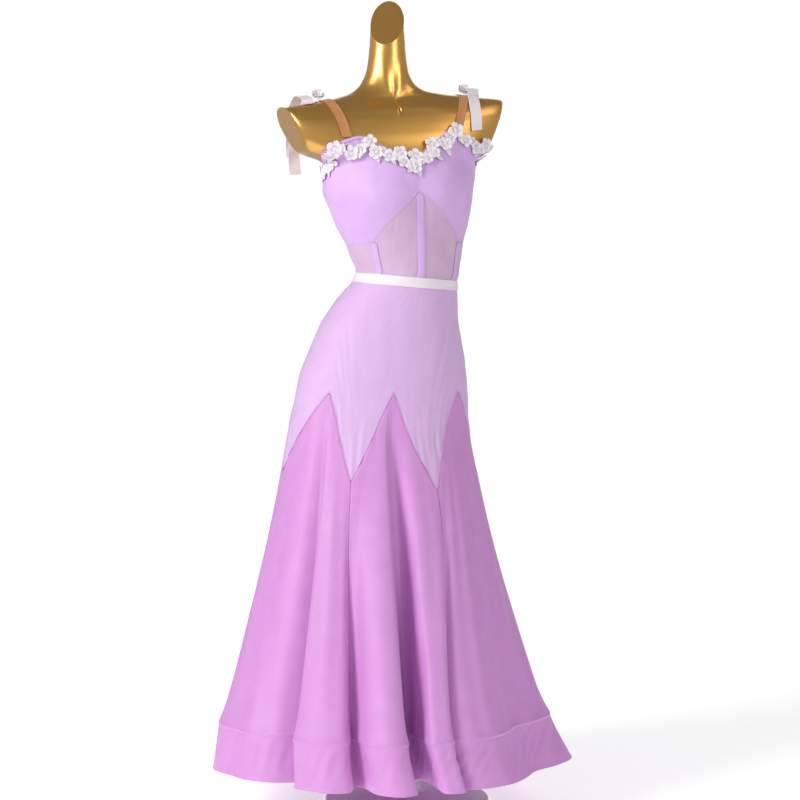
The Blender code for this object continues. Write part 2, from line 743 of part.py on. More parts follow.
def make_form():
    """Rings up the figure, closed below, then cut off flat at the arms and aslant at the neck."""
    columns = FORM_COLUMNS
    threads = np.arange(columns) * 360 / columns
    height, thread = np.meshgrid(FORM_RINGS, threads, indexing="ij")
    slack = smooth(height, *np.array(FORM_SLACK).T)
    points = body_point(thread, height, FORM_SECTIONS, slack).reshape(-1, 3)
    faces = grid_faces(len(FORM_RINGS), columns, 0, True, False)
    faces.append(list(range(columns))[::-1])
    top = (len(FORM_RINGS) - 1) * columns
    faces.append([top + j for j in range(columns)])
    form = solid("dress_form", points, faces, "gold")
    centre, across, back = chest_frame()
    low, high = ARM_HEIGHTS
    for name, side, reach_low, reach_high in ARM_CUTS:
        lean = math.atan2(reach_high - reach_low, high - low)
        face = centre + side * across * (reach_low + reach_high) / 2 + np.array([0, 0, (low + high) / 2])
        normal = side * across * math.cos(lean) - np.array([0, 0, math.sin(lean)])
        tall = math.hypot(reach_high - reach_low, high - low) + ARM_CUT_SPARE
        cut_away(form, cutter(name, face, normal, back, (*ARM_CUT_SIZE, tall)))
    slope, facing = math.radians(NECK_SLOPE), math.radians(NECK_FACING)
    normal = (math.sin(slope) * math.sin(facing), -math.sin(slope) * math.cos(facing), math.cos(slope))
    face = (centre[0], 0, NECK_CUT)
    cut_away(form, cutter("neck_cut", face, normal, (1, 0, 0), NECK_CUT_SIZE))


def turned_solid(name, profile, finish_name, columns=32):
    """A profile of radius and height, from the bottom up, turned round the pole's axis."""
    angle = np.arange(columns) * 2 * math.pi / columns
    rings = [
        np.stack([r * np.sin(angle), -r * np.cos(angle), np.full(columns, z)], axis=-1) for r, z in profile
    ]
    points = np.array(rings).reshape(-1, 3)
    faces = grid_faces(len(profile), columns, 0, True, False)
    faces.append(list(range(columns))[::-1])
    top = (len(profile) - 1) * columns
    faces.append([top + j for j in range(columns)])
    return solid(name, points, faces, finish_name)


def make_stand():
    base = [
        (BASE_RADIUS - 0.003, 0.0),
        (BASE_RADIUS, 0.003),
        (BASE_RADIUS, BASE_THICKNESS),
        (BASE_RADIUS * 0.60, BASE_CROWN - 0.005),
        (BOSS_RADIUS + 0.006, BASE_CROWN),
        (BOSS_RADIUS, BASE_CROWN + 0.006),
        (BOSS_RADIUS - 0.004, BOSS_HEIGHT - 0.004),
        (BOSS_RADIUS - 0.008, BOSS_HEIGHT),
    ]
    turned_solid("base_plate", base, "steel")
    pole = [(POLE_RADIUS, BOSS_HEIGHT + SEAM_GAP), (POLE_RADIUS, FORM_BOTTOM - SEAM_GAP)]
    turned_solid("pole", pole, "steel", 20)


def chest_frame():
    """The chest's centre and its across and forward directions."""
    at = {name: value.item() for name, value in sized(FORM_SECTIONS, np.array([CHEST_HEIGHT])).items()}
    turn = math.radians(at["turn"])
    centre = np.array([at["centre_x"], 0.0, 0.0])
    across = np.array([math.cos(turn), math.sin(turn), math.tan(math.radians(at["tilt"]))])
    back = np.array([-math.sin(turn), math.cos(turn), 0.0])
    return centre, across, back


def inside_form(points):
    """Below one inside the form, one on it, above one outside."""
    height = points[..., 2].copy()
    for _ in range(6):
        at = sized(FORM_SECTIONS, height)
        turn = np.radians(at["turn"])
        x = (points[..., 0] - at["centre_x"]) * np.cos(turn) + points[..., 1] * np.sin(turn)
        y = -(points[..., 0] - at["centre_x"]) * np.sin(turn) + points[..., 1] * np.cos(turn)
        height = points[..., 2] - np.tan(np.radians(at["tilt"])) * x
    depth = np.where(y < 0, at["front"], at["back"])
    power = at["squareness"]
    return (np.abs(x / at["half_width"]) ** power + np.abs(y / depth) ** power) ** (1 / power)


def over_shoulder(across_at, climb, lift, reach=0.0):
    """Points over the shoulder: at a place across the chest and an angle up from the front, over, and
    down, on the form or at least this far from the chest's core."""
    centre, across, back = chest_frame()
    start = centre + across_at[..., None] * across + np.array([0, 0, SHOULDER_CORE])
    out = -np.cos(climb)[..., None] * back + np.sin(climb)[..., None] * np.array([0, 0, 1.0])
    near, far = np.zeros(across_at.shape), np.full(across_at.shape, SHOULDER_REACH)
    for _ in range(HALVINGS):
        middle = (near + far) / 2
        within = inside_form(start + out * middle[..., None]) < 1
        near, far = np.where(within, middle, near), np.where(within, far, middle)
    return start + out * np.maximum(near + lift, reach)[..., None]


def lay_strip(points, inner, outer):
    """The two sides of a strip, moved out from a grid of points along its normals."""
    along = np.gradient(points, axis=0)
    over = np.gradient(points, axis=1)
    normal = np.cross(over, along)
    normal /= np.linalg.norm(normal, axis=-1, keepdims=True)
    return points + normal * inner, points + normal * outer


def make_straps():
    """Each strap runs from the bodice's point over the shoulder to the back edge."""
    for name, side, front_low, back_low, start, bow in STRAPS:
        fine = np.radians(np.linspace(*STRAP_CLIMB, STRAP_SAMPLES))
        share = np.linspace(0, 1, STRAP_SAMPLES)
        bowed = bow * np.sin(math.pi * np.clip(share * STRAP_BOW_SPEED, 0, 1))
        out_at = side * (start + bowed - STRAP_NEARING * share)
        line = over_shoulder(out_at, fine, np.zeros(STRAP_SAMPLES))
        kept = np.where(fine < math.pi / 2, line[:, 2] > front_low, line[:, 2] > back_low)
        first, last = np.argmax(kept), len(kept) - 1 - np.argmax(kept[::-1])
        climb = np.linspace(fine[first], fine[last], STRAP_ROWS)
        middle = np.interp(climb, fine, out_at)
        across_at = middle[:, None] + side * np.linspace(-0.5, 0.5, 4)[None, :] * STRAP_WIDTH
        climb = np.broadcast_to(climb[:, None], across_at.shape)
        grid = over_shoulder(across_at, climb, np.zeros(across_at.shape))
        if side < 0:
            grid = grid[:, ::-1]
        inner, outer = lay_strip(grid, STRAP_LIFT, STRAP_LIFT + STRAP_WALL)
        walled(name, inner, outer, "strap")


def beside(thread, height, across, up):
    """The threads and heights of points this far across and up from a place, measured on the cloth."""
    threads, heights = np.full(across.shape, float(thread)), np.full(across.shape, float(height))
    start = cloth_point(threads, heights)
    by_thread = cloth_point(threads + 0.5, heights) - cloth_point(threads - 0.5, heights)
    by_height = (cloth_point(threads, heights + STEP) - cloth_point(threads, heights - STEP)) / (2 * STEP)
    along = by_thread / np.linalg.norm(by_thread, axis=-1, keepdims=True)
    rise = np.cross(cloth_normal(threads, heights), along)
    for _ in range(3):
        gone = cloth_point(threads, heights) - start
        short = np.stack([across - (gone * along).sum(-1), up - (gone * rise).sum(-1)], axis=-1)
        step_up = short[..., 1] / (by_height * rise).sum(-1)
        step_on = (short[..., 0] - step_up * (by_height * along).sum(-1)) / (by_thread * along).sum(-1)
        threads, heights = threads + step_on, heights + step_up
    return threads, heights


def petal_outline(radius, turn):
    """A flower's outline: for each petal, its valley and its two shoulders."""
    rows = np.array(PETAL_SHAPE)
    angle = (np.arange(PETALS)[:, None] + rows[None, :, 0]) * 2 * math.pi / PETALS + math.radians(turn)
    reach = radius * rows[None, :, 1]
    return (reach * np.cos(angle)).ravel(), (reach * np.sin(angle)).ravel()


def leaf_outline(length, points_to):
    rows = np.array(LEAF_SHAPE) * length
    turn = math.radians(points_to)
    return (
        rows[:, 0] * math.cos(turn) - rows[:, 1] * math.sin(turn),
        rows[:, 0] * math.sin(turn) + rows[:, 1] * math.cos(turn),
    )


def stem(near, far):
    """A narrow strip between two middles, with points along it close enough to follow the body."""
    run = (far - near) / np.linalg.norm(far - near)
    side = np.array([-run[1], run[0]]) * STEM_WIDTH / 2
    count = max(2, round(np.linalg.norm(far - near) / STEM_STEP))
    line = near + (far - near) * np.linspace(0, 1, count)[:, None]
    return np.concatenate([line - side, (line + side)[::-1]])


def outer_edges(faces):
    """The edges that only one face has, each from its start to its end."""
    edges = {(face[i - 1], face[i]) for face in faces for i in range(len(face))}
    return [(near, far) for near, far in sorted(edges) if (far, near) not in edges]


def outlines_of(flat, faces):
    """The outlines of a flat mesh, without points that nearly touch and without the smallest holes."""
    follow = {}
    for near, far in outer_edges(faces):
        follow.setdefault(near, []).append(far)
    loops, taken = [], [np.array([math.inf, math.inf])]
    while follow:
        corner = next(iter(follow))
        loop = []
        while corner in follow:
            here = flat[corner]
            ahead = follow[corner].pop()
            if not follow[corner]:
                del follow[corner]
            corner = ahead
            if np.linalg.norm(np.array(taken) - here, axis=1).min() > NEAR_POINTS:
                loop.append(here)
                taken.append(here)
        if len(loop) < 3:
            continue
        loop = np.array(loop)
        after = np.roll(loop, -1, axis=0)
        area = (loop[:, 0] * after[:, 1] - loop[:, 1] * after[:, 0]).sum() / 2
        if abs(area) > LEAST_GAP**2:
            loops.append(loop)
    return loops


def without_pinches(faces):
    """The faces without those that hang on to the rest by one corner only."""
    while True:
        starts = [near for near, _ in outer_edges(faces)]
        pinched = [corner for corner in starts if starts.count(corner) > 1]
        if not pinched:
            return faces
        corner = pinched[0]
        fans = []
        for face in [face for face in faces if corner in face]:
            joined = [fan for fan in fans if any(len(set(face) & set(other)) > 1 for other in fan)]
            fans = [fan for fan in fans if fan not in joined]
            fans.append([face] + [other for fan in joined for other in fan])
        kept = max(fans, key=len)
        faces = [face for face in faces if corner not in face or face in kept]


def within(place, near, far):
    """Whether a place lies inside the outlines, by how many of their edges a line from it crosses."""
    across = (near[:, 1] > place[1]) != (far[:, 1] > place[1])
    near, far = near[across], far[across]
    share = (place[1] - near[:, 1]) / (far[:, 1] - near[:, 1])
    return (near[:, 0] + share * (far[:, 0] - near[:, 0]) > place[0]).sum() % 2 == 1


def make_lace(name, flowers, leaves, lift):
    """Flowers, the stem between their middles and leaves, as one sheet that lies this far off the cloth."""
    shapes = []
    middles = np.array([(thread * THREAD_TO_PLANE, height) for thread, height, *_ in flowers])
    for thread, height, radius, turn in flowers:
        shapes.append(beside(thread, height, *petal_outline(radius, turn)))
    for flower, length, points_to in leaves:
        thread, height, *_ = flowers[flower]
        shapes.append(beside(thread, height, *leaf_outline(length, points_to)))
    shapes = [np.stack([threads * THREAD_TO_PLANE, heights], axis=-1) for threads, heights in shapes]
    shapes += [stem(near, far) for near, far in zip(middles[:-1], middles[1:])]
    points, faces = [], []
    for shape in shapes:
        faces.append(list(range(len(points), len(points) + len(shape))))
        points += [Vector(p) for p in shape]
    found = delaunay_2d_cdt(points, [], faces, 1, MERGE, True)
    flat = np.array([tuple(p) for p in found[0]])
    loops = outlines_of(flat, [face for face, sources in zip(found[2], found[5]) if sources])
    points, edges = [], []
    for loop in loops:
        first = len(points)
        edges += [(first + i, first + (i + 1) % len(loop)) for i in range(len(loop))]
        points += [Vector(p) for p in loop]
    near = np.concatenate(loops)
    far = np.concatenate([np.roll(loop, -1, axis=0) for loop in loops])
    first_middle = len(points)
    points += [Vector(p) for p in middles]
    found = delaunay_2d_cdt(points, edges, [], 0, MERGE, True)
    flat = np.array([tuple(p) for p in found[0]])
    kept = without_pinches([face for face in found[2] if within(flat[face].mean(axis=0), near, far)])
    thread, height = flat[:, 0] / THREAD_TO_PLANE, flat[:, 1]
    raised = [any(source >= first_middle for source in sources) for sources in found[3]]
    crown = LACE_CROWN * np.array(raised)
    lift += EASE + WALL
    above = moved_out(thread, height, lift + LACE_WALL + crown)
    sheet_solid(name, above, moved_out(thread, height, lift), kept)


def sheet_solid(name, above, below, faces):
    """A solid between two copies of a flat mesh, walled along its free edges."""
    used = sorted({corner for face in faces for corner in face})
    number = {corner: i for i, corner in enumerate(used)}
    faces = [[number[corner] for corner in face] for face in faces]
    count = len(used)
    all_faces = faces + [[corner + count for corner in face[::-1]] for face in faces]
    for near, far in outer_edges(faces):
        all_faces.append([far, near, near + count, far + count])
    solid(name, np.concatenate([above[used], below[used]]), all_faces, "lace")


def back_flowers():
    """An even row along the hidden back edge."""
    threads = np.linspace(*BACK_FLOWERS)
    heights = neckline(threads) - BACK_FLOWER_DROP
    return [(t, h, BACK_FLOWER_RADIUS, 35 * i) for i, (t, h) in enumerate(zip(threads, heights))]


def make_ribbons():
    """Each ribbon follows its route over the shoulder, and lies on the form where the route has no reach."""
    for name, rows in RIBBON_ROUTES.items():
        table = np.array(rows)
        at = np.linspace(0, 1, RIBBON_ROWS)
        knots = np.linspace(0, 1, len(table))
        across_at, climb, reach = (smooth(at, knots, table[:, column]) for column in range(3))
        across_at = across_at[:, None] + np.linspace(-0.5, 0.5, 3)[None, :] * RIBBON_WIDTH
        climb = np.broadcast_to(np.radians(climb)[:, None], across_at.shape)
        grid = over_shoulder(across_at, climb, np.zeros(across_at.shape), reach[:, None])
        inner, outer = lay_strip(grid, RIBBON_LIFTS[name], RIBBON_LIFTS[name] + RIBBON_WALL)
        walled(name, inner, outer, "ribbon")


def make_shoulder_flowers():
    """A lobed flower stands beside each strap's highest place, leaning forward."""
    centre, across, back = chest_frame()
    for name, across_at, climb, rise, lean in SHOULDER_FLOWERS:
        foot = over_shoulder(np.array([across_at]), np.radians([climb]), np.zeros(1))[0]
        lean = math.radians(lean)
        up = np.array([0, 0, math.cos(lean)]) + back * math.sin(lean)
        facing = np.cross(across, up)
        middle = foot + up * rise
        xs, ys = petal_outline(SHOULDER_FLOWER_RADIUS, 90 + 180 / PETALS)
        flat = np.concatenate([np.stack([xs, ys], axis=-1), [(0, 0)]])
        crown = np.array([0.0] * len(xs) + [LACE_CROWN * 2])
        below = middle + flat[:, :1] * across + flat[:, 1:] * up
        above = below + facing * (LACE_WALL + crown[:, None])
        count = len(xs)
        sheet_solid(name, above, below, [[i, (i + 1) % count, count] for i in range(count)])


def main():
    clear_scene()
    make_bodice()
    make_boning()
    make_belt()
    make_skirt()
    make_form()
    make_stand()
    make_straps()
    make_lace("lace_front", FRONT_FLOWERS, LEAVES, FRONT_LACE_LIFT)
    make_lace("lace_back", back_flowers(), (), BACK_LACE_LIFT)
    make_ribbons()
    make_shoulder_flowers()


main()
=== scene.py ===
"""The looks of a lilac ballroom dance dress on a glossy gold dress form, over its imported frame.

A place on the cloth is a thread (degrees round the dress from the centre front, positive towards +X)
and a height in metres, as in the part's source. Each cloth piece is two grids of such places, an outer
and an inner one, moved off the body along the cloth's normal. All lengths are metres.
"""

import math

import bpy
import numpy as np
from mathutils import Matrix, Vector


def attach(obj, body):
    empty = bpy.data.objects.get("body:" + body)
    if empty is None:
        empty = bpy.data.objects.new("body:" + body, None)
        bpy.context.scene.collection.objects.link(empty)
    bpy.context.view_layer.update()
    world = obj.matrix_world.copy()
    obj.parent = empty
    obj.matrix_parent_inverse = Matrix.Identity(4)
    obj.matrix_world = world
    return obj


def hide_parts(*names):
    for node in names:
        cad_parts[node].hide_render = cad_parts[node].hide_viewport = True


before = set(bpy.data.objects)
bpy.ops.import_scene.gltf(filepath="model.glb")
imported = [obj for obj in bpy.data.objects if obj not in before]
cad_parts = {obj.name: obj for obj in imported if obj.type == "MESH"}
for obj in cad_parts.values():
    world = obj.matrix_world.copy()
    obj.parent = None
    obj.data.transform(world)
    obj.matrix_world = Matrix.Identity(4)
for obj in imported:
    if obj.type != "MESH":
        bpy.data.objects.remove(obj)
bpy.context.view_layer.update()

SEAM_GAP = 0.0003
SIDE_GAP = 0.0012
EASE = 0.0009
WALL = 0.0013
STEP = 1e-4
HEM_HEIGHT = 0.100
BAND_TOP = 0.186
YOKE_POINT = 0.647
LOW_POINT_DROP = 0.018
ZIGZAG = ((0, 0), (7.5, 0.195), (15, 0.47), (22.5, 0.735), (30, 1))
PEAK_THREADS = ((-180, -180), (-90, -90), (-52.5, -60), (-30, -30), (180, 180))
GODET_PEAK = 0.812
GODET_THREADS = 60
BAND_STAND = 0.0045
WAIST = 1.019
WAIST_SLOPE = -0.077
BODICE_APEX = 1.190
BODICE_SIDE = 1.098
THREAD_STEP = 7.5
MESH_THREAD = 7 * THREAD_STEP
MESH_INSET = 0.0005
MESH_COVER = 0.87
BELT_WIDTH = 0.019
BINDING_WIDTH = 0.007
BONING_WIDTH = 0.015
STRAP_WIDTH = 0.018
STRAP_WALL = 0.0014
STRAP_LIFT = 0.0008
STRAPS = (
    ("strap_left", -1, 1.2920, 1.222, 0.108, 0.035),
    ("strap_right", 1, 1.3120, 1.222, 0.104, 0.050),
)
STRAP_NEARING = 0.022
STRAP_CLIMB = (-25, 262)
STRAP_SAMPLES = 240
RIBBON_WIDTH = 0.0225
RIBBON_WALL = 0.0011
FRONT_LACE_LIFT = 0.0023
BACK_LACE_LIFT = 0.0008
PETALS = 5
SMALL_FLOWER_RADIUS = 0.0078
SMALL_FLOWER_ASIDE = 0.0045
FLAT_FLOWER_RADIUS = 0.009
STITCH_PITCH = 0.0042
STITCH_SHARE = 0.62
STITCH_RADIUS = 0.00032
STITCH_SIDES = 5
BONING_LIFT = 0.0007
BELT_WALL = 0.0013
POLE_RADIUS = 0.0125
BASE_RADIUS = 0.160
BASE_THICKNESS = 0.008
BASE_CROWN = 0.020
BOSS_RADIUS = 0.026
BOSS_HEIGHT = 0.050
FORM_BOTTOM = 0.655
SECTION_COLUMNS = ("height", "centre_x", "half_width", "front", "back", "squareness", "turn", "tilt")
SKIRT_SECTIONS = (
    (0.100, -0.026, 0.334, 0.325, 0.325, 2.0, 0.0, 0.0),
    (0.186, -0.042, 0.304, 0.292, 0.292, 2.0, 0.0, 0.0),
    (0.279, -0.046, 0.276, 0.262, 0.265, 2.0, 0.0, 0.0),
    (0.396, -0.050, 0.246, 0.226, 0.232, 2.0, 0.0, 0.0),
    (0.513, -0.053, 0.2185, 0.188, 0.198, 2.0, 0.0, 0.0),
    (0.630, -0.055, 0.194, 0.150, 0.164, 2.0, 0.0, 0.0),
    (0.700, -0.056, 0.1805, 0.129, 0.146, 2.0, 0.0, 0.0),
    (0.747, -0.0545, 0.1735, 0.116, 0.135, 2.05, 0.0, 0.0),
)
BODY_SECTIONS = (
    (0.794, -0.0505, 0.1675, 0.108, 0.128, 2.1, 0.0, 0.0),
    (0.841, -0.047, 0.1605, 0.106, 0.127, 2.1, 0.0, 0.0),
    (0.887, -0.041, 0.1485, 0.103, 0.121, 2.1, 0.0, 0.0),
    (0.934, -0.035, 0.1340, 0.096, 0.110, 2.1, 0.5, 0.0),
    (0.981, -0.021, 0.1180, 0.087, 0.094, 2.1, 2.0, 0.0),
    (1.004, -0.012, 0.1080, 0.084, 0.086, 2.1, 3.5, 0.0),
    (1.022, -0.004, 0.0995, 0.083, 0.082, 2.1, 5.0, 0.0),
    (1.040, 0.001, 0.0990, 0.084, 0.081, 2.1, 6.0, 0.0),
    (1.067, -0.0025, 0.1065, 0.088, 0.083, 2.1, 7.0, 0.0),
    (1.098, -0.0065, 0.1150, 0.095, 0.086, 2.1, 8.0, 0.0),
    (1.129, -0.0115, 0.1275, 0.104, 0.090, 2.15, 8.0, 0.0),
    (1.160, -0.0150, 0.1355, 0.113, 0.094, 2.2, 8.0, 0.0),
    (1.192, -0.0195, 0.1445, 0.117, 0.096, 2.2, 8.0, 0.0),
    (1.223, -0.0165, 0.1465, 0.114, 0.097, 2.25, 8.0, 0.5),
    (1.248, -0.0180, 0.1490, 0.107, 0.096, 2.3, 7.5, 1.0),
)
SHOULDER_SECTIONS = (
    (1.275, -0.026, 0.1960, 0.098, 0.095, 2.6, 7.0, 2.0),
    (1.305, -0.031, 0.2260, 0.090, 0.092, 2.8, 6.5, 3.0),
    (1.332, -0.035, 0.2420, 0.079, 0.087, 3.0, 6.0, 3.4),
    (1.348, -0.036, 0.2440, 0.067, 0.078, 3.0, 6.0, 3.6),
    (1.359, -0.037, 0.2300, 0.056, 0.067, 2.8, 6.0, 3.6),
    (1.367, -0.038, 0.1800, 0.048, 0.058, 2.6, 6.0, 3.6),
    (1.375, -0.039, 0.1180, 0.042, 0.050, 2.4, 6.0, 3.6),
    (1.386, -0.038, 0.0720, 0.039, 0.044, 2.1, 6.0, 3.0),
    (1.401, -0.0385, 0.0530, 0.038, 0.041, 2.0, 6.0, 2.0),
    (1.428, -0.0385, 0.0405, 0.037, 0.039, 2.0, 6.0, 0.0),
    (1.475, -0.0385, 0.0345, 0.036, 0.037, 2.0, 6.0, 0.0),
    (1.530, -0.0390, 0.0315, 0.036, 0.036, 2.0, 6.0, 0.0),
    (1.600, -0.0395, 0.0300, 0.035, 0.035, 2.0, 6.0, 0.0),
)
SEAT_SECTIONS = (
    (0.655, 0.000, 0.0240, 0.024, 0.024, 2.0, 0.0, 0.0),
    (0.667, 0.000, 0.0250, 0.025, 0.025, 2.0, 0.0, 0.0),
    (0.676, -0.012, 0.0640, 0.046, 0.056, 2.0, 0.0, 0.0),
    (0.690, -0.034, 0.1100, 0.074, 0.088, 2.1, 0.0, 0.0),
    (0.715, -0.046, 0.1430, 0.092, 0.110, 2.1, 0.0, 0.0),
    (0.752, -0.050, 0.1620, 0.104, 0.124, 2.1, 0.0, 0.0),
)
NECKLINE = (
    (-180, 1.205),
    (-140, 1.213),
    (-115, 1.228),
    (-95, 1.247),
    (-75, 1.262),
    (-62, 1.276),
    (-53, 1.291),
    (-45, 1.299),
    (-37, 1.285),
    (-20, 1.267),
    (-10, 1.260),
    (0, 1.257),
    (9, 1.262),
    (18, 1.271),
    (32, 1.287),
    (38, 1.296),
    (45, 1.306),
    (52, 1.294),
    (58, 1.282),
    (68, 1.272),
    (82, 1.261),
    (98, 1.247),
    (118, 1.229),
    (140, 1.213),
    (180, 1.205),
)
CUP_THREAD = 33.0
CUP_SPREAD = 24.0
CUP_HEIGHT = 1.186
CUP_RISE = 0.044
CUP_DEPTH = 0.013
FRONT_FLOWERS = (
    (-101, 1.224, 0.011, 10),
    (-90, 1.229, 0.010, 70),
    (-80, 1.240, 0.011, 40),
    (-71, 1.253, 0.011, 20),
    (-65, 1.265, 0.010, 50),
    (-58, 1.276, 0.014, 0),
    (-52, 1.267, 0.011, 30),
    (-46, 1.272, 0.010, 55),
    (-40, 1.286, 0.012, 10),
    (-37, 1.265, 0.012, 45),
    (-28, 1.257, 0.012, 20),
    (-17, 1.262, 0.012, 60),
    (-15, 1.244, 0.011, 5),
    (-4, 1.236, 0.013, 35),
    (0, 1.256, 0.013, 15),
    (12, 1.251, 0.010, 50),
    (23, 1.262, 0.011, 25),
    (26, 1.277, 0.013, 0),
    (37, 1.278, 0.012, 40),
    (42, 1.290, 0.010, 10),
    (46, 1.303, 0.014, 30),
    (50, 1.285, 0.011, 55),
    (56, 1.274, 0.011, 20),
    (62, 1.278, 0.012, 45),
    (74, 1.259, 0.011, 5),
    (87, 1.247, 0.012, 30),
)
LEAVES = (
    (0, 0.027, 118),
    (2, 0.019, -95),
    (9, 0.021, -80),
    (10, 0.020, -60),
    (13, 0.021, -150),
    (13, 0.021, -65),
    (16, 0.021, -45),
    (18, 0.024, -72),
    (22, 0.018, -80),
    (24, 0.019, -110),
)
BACK_FLOWERS = (106, 246, 11)
BACK_FLOWER_DROP = 0.012
BACK_FLOWER_RADIUS = 0.012
RIBBON_ROUTES = {
    "ribbon_right": (
        (0.150, -17, 0.0),
        (0.151, 5, 0.0),
        (0.156, 40, 0.0),
        (0.166, 75, 0.0),
        (0.173, 100, 0.0),
        (0.186, 130, 0.0),
        (0.204, 160, 0.078),
        (0.221, 186, 0.092),
        (0.227, 210, 0.104),
    ),
    "ribbon_left_long": (
        (-0.158, 62, 0.0),
        (-0.158, 95, 0.0),
        (-0.159, 130, 0.0),
        (-0.161, 165, 0.0),
        (-0.163, 195, 0.098),
        (-0.163, 224, 0.126),
    ),
    "ribbon_left_short": (
        (-0.170, 50, 0.0),
        (-0.169, 72, 0.050),
        (-0.169, 95, 0.055),
        (-0.169, 125, 0.068),
        (-0.168, 160, 0.092),
        (-0.166, 190, 0.108),
        (-0.164, 206, 0.122),
    ),
}
RIBBON_LIFTS = {"ribbon_right": 0.0010, "ribbon_left_long": 0.0010, "ribbon_left_short": 0.0024}
SHOULDER_FLOWERS = (
    ("flower_left", -0.142, 84, 0.0165, 40),
    ("flower_right", 0.1545, 84, 0.0165, 40),
)
SHOULDER_FLOWER_RADIUS = 0.0135
FLOWER_LAYERS = ((1.0, 0.5, 0.0, 0.0030), (0.72, 1.0, 0.0014, 0.0042))
FOLDS = (
    (-90, -80, 0.367, 0.62),
    (-78, -69, 0.360, 0.62),
    (-68, -60, 0.353, 0.68),
    (-62, -53, 0.333, 0.78),
    (-57, -47, 0.304, 0.80),
    (-53, -43.5, 0.292, 0.80),
    (-50, -44.5, 0.316, 0.80),
    (-46, -43.5, 0.342, 0.76),
    (-41, -37, 0.350, 0.70),
    (-36, -30, 0.350, 0.66),
    (-33, -26, 0.336, 0.64),
    (-30, -26.5, 0.290, 0.64),
    (-26, -22, 0.296, 0.64),
    (-21, -17, 0.338, 0.66),
    (-16, -12.5, 0.356, 0.70),
    (-10, -7.5, 0.357, 0.76),
    (-6, -5, 0.338, 0.79),
    (-3, -5, 0.288, 0.80),
    (2, -2.5, 0.236, 0.80),
    (8, 2, 0.244, 0.78),
    (13, 3.5, 0.296, 0.76),
    (18, 4, 0.344, 0.68),
    (23, 7, 0.352, 0.64),
    (28, 10, 0.347, 0.62),
    (32, 9, 0.318, 0.62),
    (37, 13.5, 0.336, 0.64),
    (46, 24, 0.342, 0.68),
    (57, 34, 0.331, 0.72),
    (68, 46, 0.313, 0.70),
    (80, 58, 0.332, 0.64),
    (90, 69, 0.346, 0.60),
    (100, 82, 0.322, 0.66),
    (110, 93, 0.296, 0.74),
    (120, 104, 0.346, 0.74),
    (130, 116, 0.338, 0.68),
    (140, 127, 0.292, 0.62),
    (150, 138, 0.348, 0.60),
    (161, 151, 0.330, 0.68),
    (171, 161, 0.288, 0.76),
    (181, 173, 0.346, 0.78),
    (192, 187, 0.340, 0.72),
    (201, 195, 0.286, 0.66),
    (210, 206, 0.344, 0.60),
    (221, 219, 0.334, 0.66),
    (232, 231, 0.290, 0.74),
    (243, 244, 0.346, 0.72),
    (256, 258, 0.330, 0.66),
    (263, 270, 0.346, 0.62),
)
FORM_SLACK = (
    (0.655, 0.0),
    (0.72, 0.003),
    (0.98, 0.003),
    (1.03, 0.0008),
    (1.08, 0.0010),
    (1.17, 0.0023),
    (1.25, 0.0024),
    (1.305, 0.0022),
    (1.345, 0.0),
)
ARM_HEIGHTS = (1.250, 1.362)
ARM_CUTS = ((-1, 0.171, 0.213), (1, 0.181, 0.2255))
ARM_CUT_SOFTNESS = 0.0038
NECK_CUT = 1.521
NECK_FOOT = 1.392
NECK_GUESS = 1.5
NECK_SLOPE = 52.0
NECK_FACING = -24.0
SHOULDER_CORE = 1.325
SHOULDER_REACH = 0.16
CHEST_HEIGHT = 1.332
HALVINGS = 40
STRAP_BOW_SPEED = 1.15
DRESS_SECTIONS = SKIRT_SECTIONS + BODY_SECTIONS + SHOULDER_SECTIONS[:2]
FORM_SECTIONS = SEAT_SECTIONS + BODY_SECTIONS + SHOULDER_SECTIONS
CAMERA_TURN = math.radians(-12)
CAMERA_DOWN = 2.96
CAMERA_LENS = 97.35
CAMERA_SENSOR = 36.0
CAMERA_SHIFT = -0.05
CAMERA_PLACE = (-0.0137, 4.2, 1.0843)
FLOOR_RADIUS = 1.5
FLOOR_CORNERS = 96
FLOOR_GLOW = 0.52
GROUND_BRIGHTNESS = 1.05
ROOM_HEIGHTS = (0.05, 0.80)
ROOM_BRIGHTNESS = (0.41, 0.17)
LIGHTS = (
    ("key", (-2.8, 2.1, 2.4), (1.1, 1.9), 118, 1.5),
    ("fill", (2.6, 2.6, 2.0), (1.2, 2.0), 35, 1.55),
    ("top", (1.9, 0.6, 3.0), (1.0, 1.0), 6, 1.2),
    ("back", (0.6, -2.8, 2.0), (2.0, 1.6), 14, 0.9),
)


def smooth(at, knots, values):
    """A curve through the values that never passes them: cubic, with slopes set as a harmonic mean."""
    knots = np.asarray(knots, float)
    values = np.asarray(values, float)
    width = np.diff(knots)
    rise = np.diff(values) / width
    slope = np.zeros(len(knots))
    before, after = rise[:-1], rise[1:]
    same = before * after > 0
    slope[1:-1][same] = 2 * before[same] * after[same] / (before[same] + after[same])
    slope[0], slope[-1] = rise[0], rise[-1]
    at = np.clip(np.asarray(at, float), knots[0], knots[-1])
    i = np.clip(np.searchsorted(knots, at, side="right") - 1, 0, len(width) - 1)
    u = (at - knots[i]) / width[i]
    return (
        (1 + 2 * u) * (1 - u) ** 2 * values[i]
        + u * (1 - u) ** 2 * width[i] * slope[i]
        + u * u * (3 - 2 * u) * values[i + 1]
        + u * u * (u - 1) * width[i] * slope[i + 1]
    )


def sized(sections, height):
    """The columns of a section table at these heights."""
    rows = np.array(sections)
    return {
        name: smooth(height, rows[:, 0], rows[:, i]) for i, name in enumerate(SECTION_COLUMNS) if i
    }


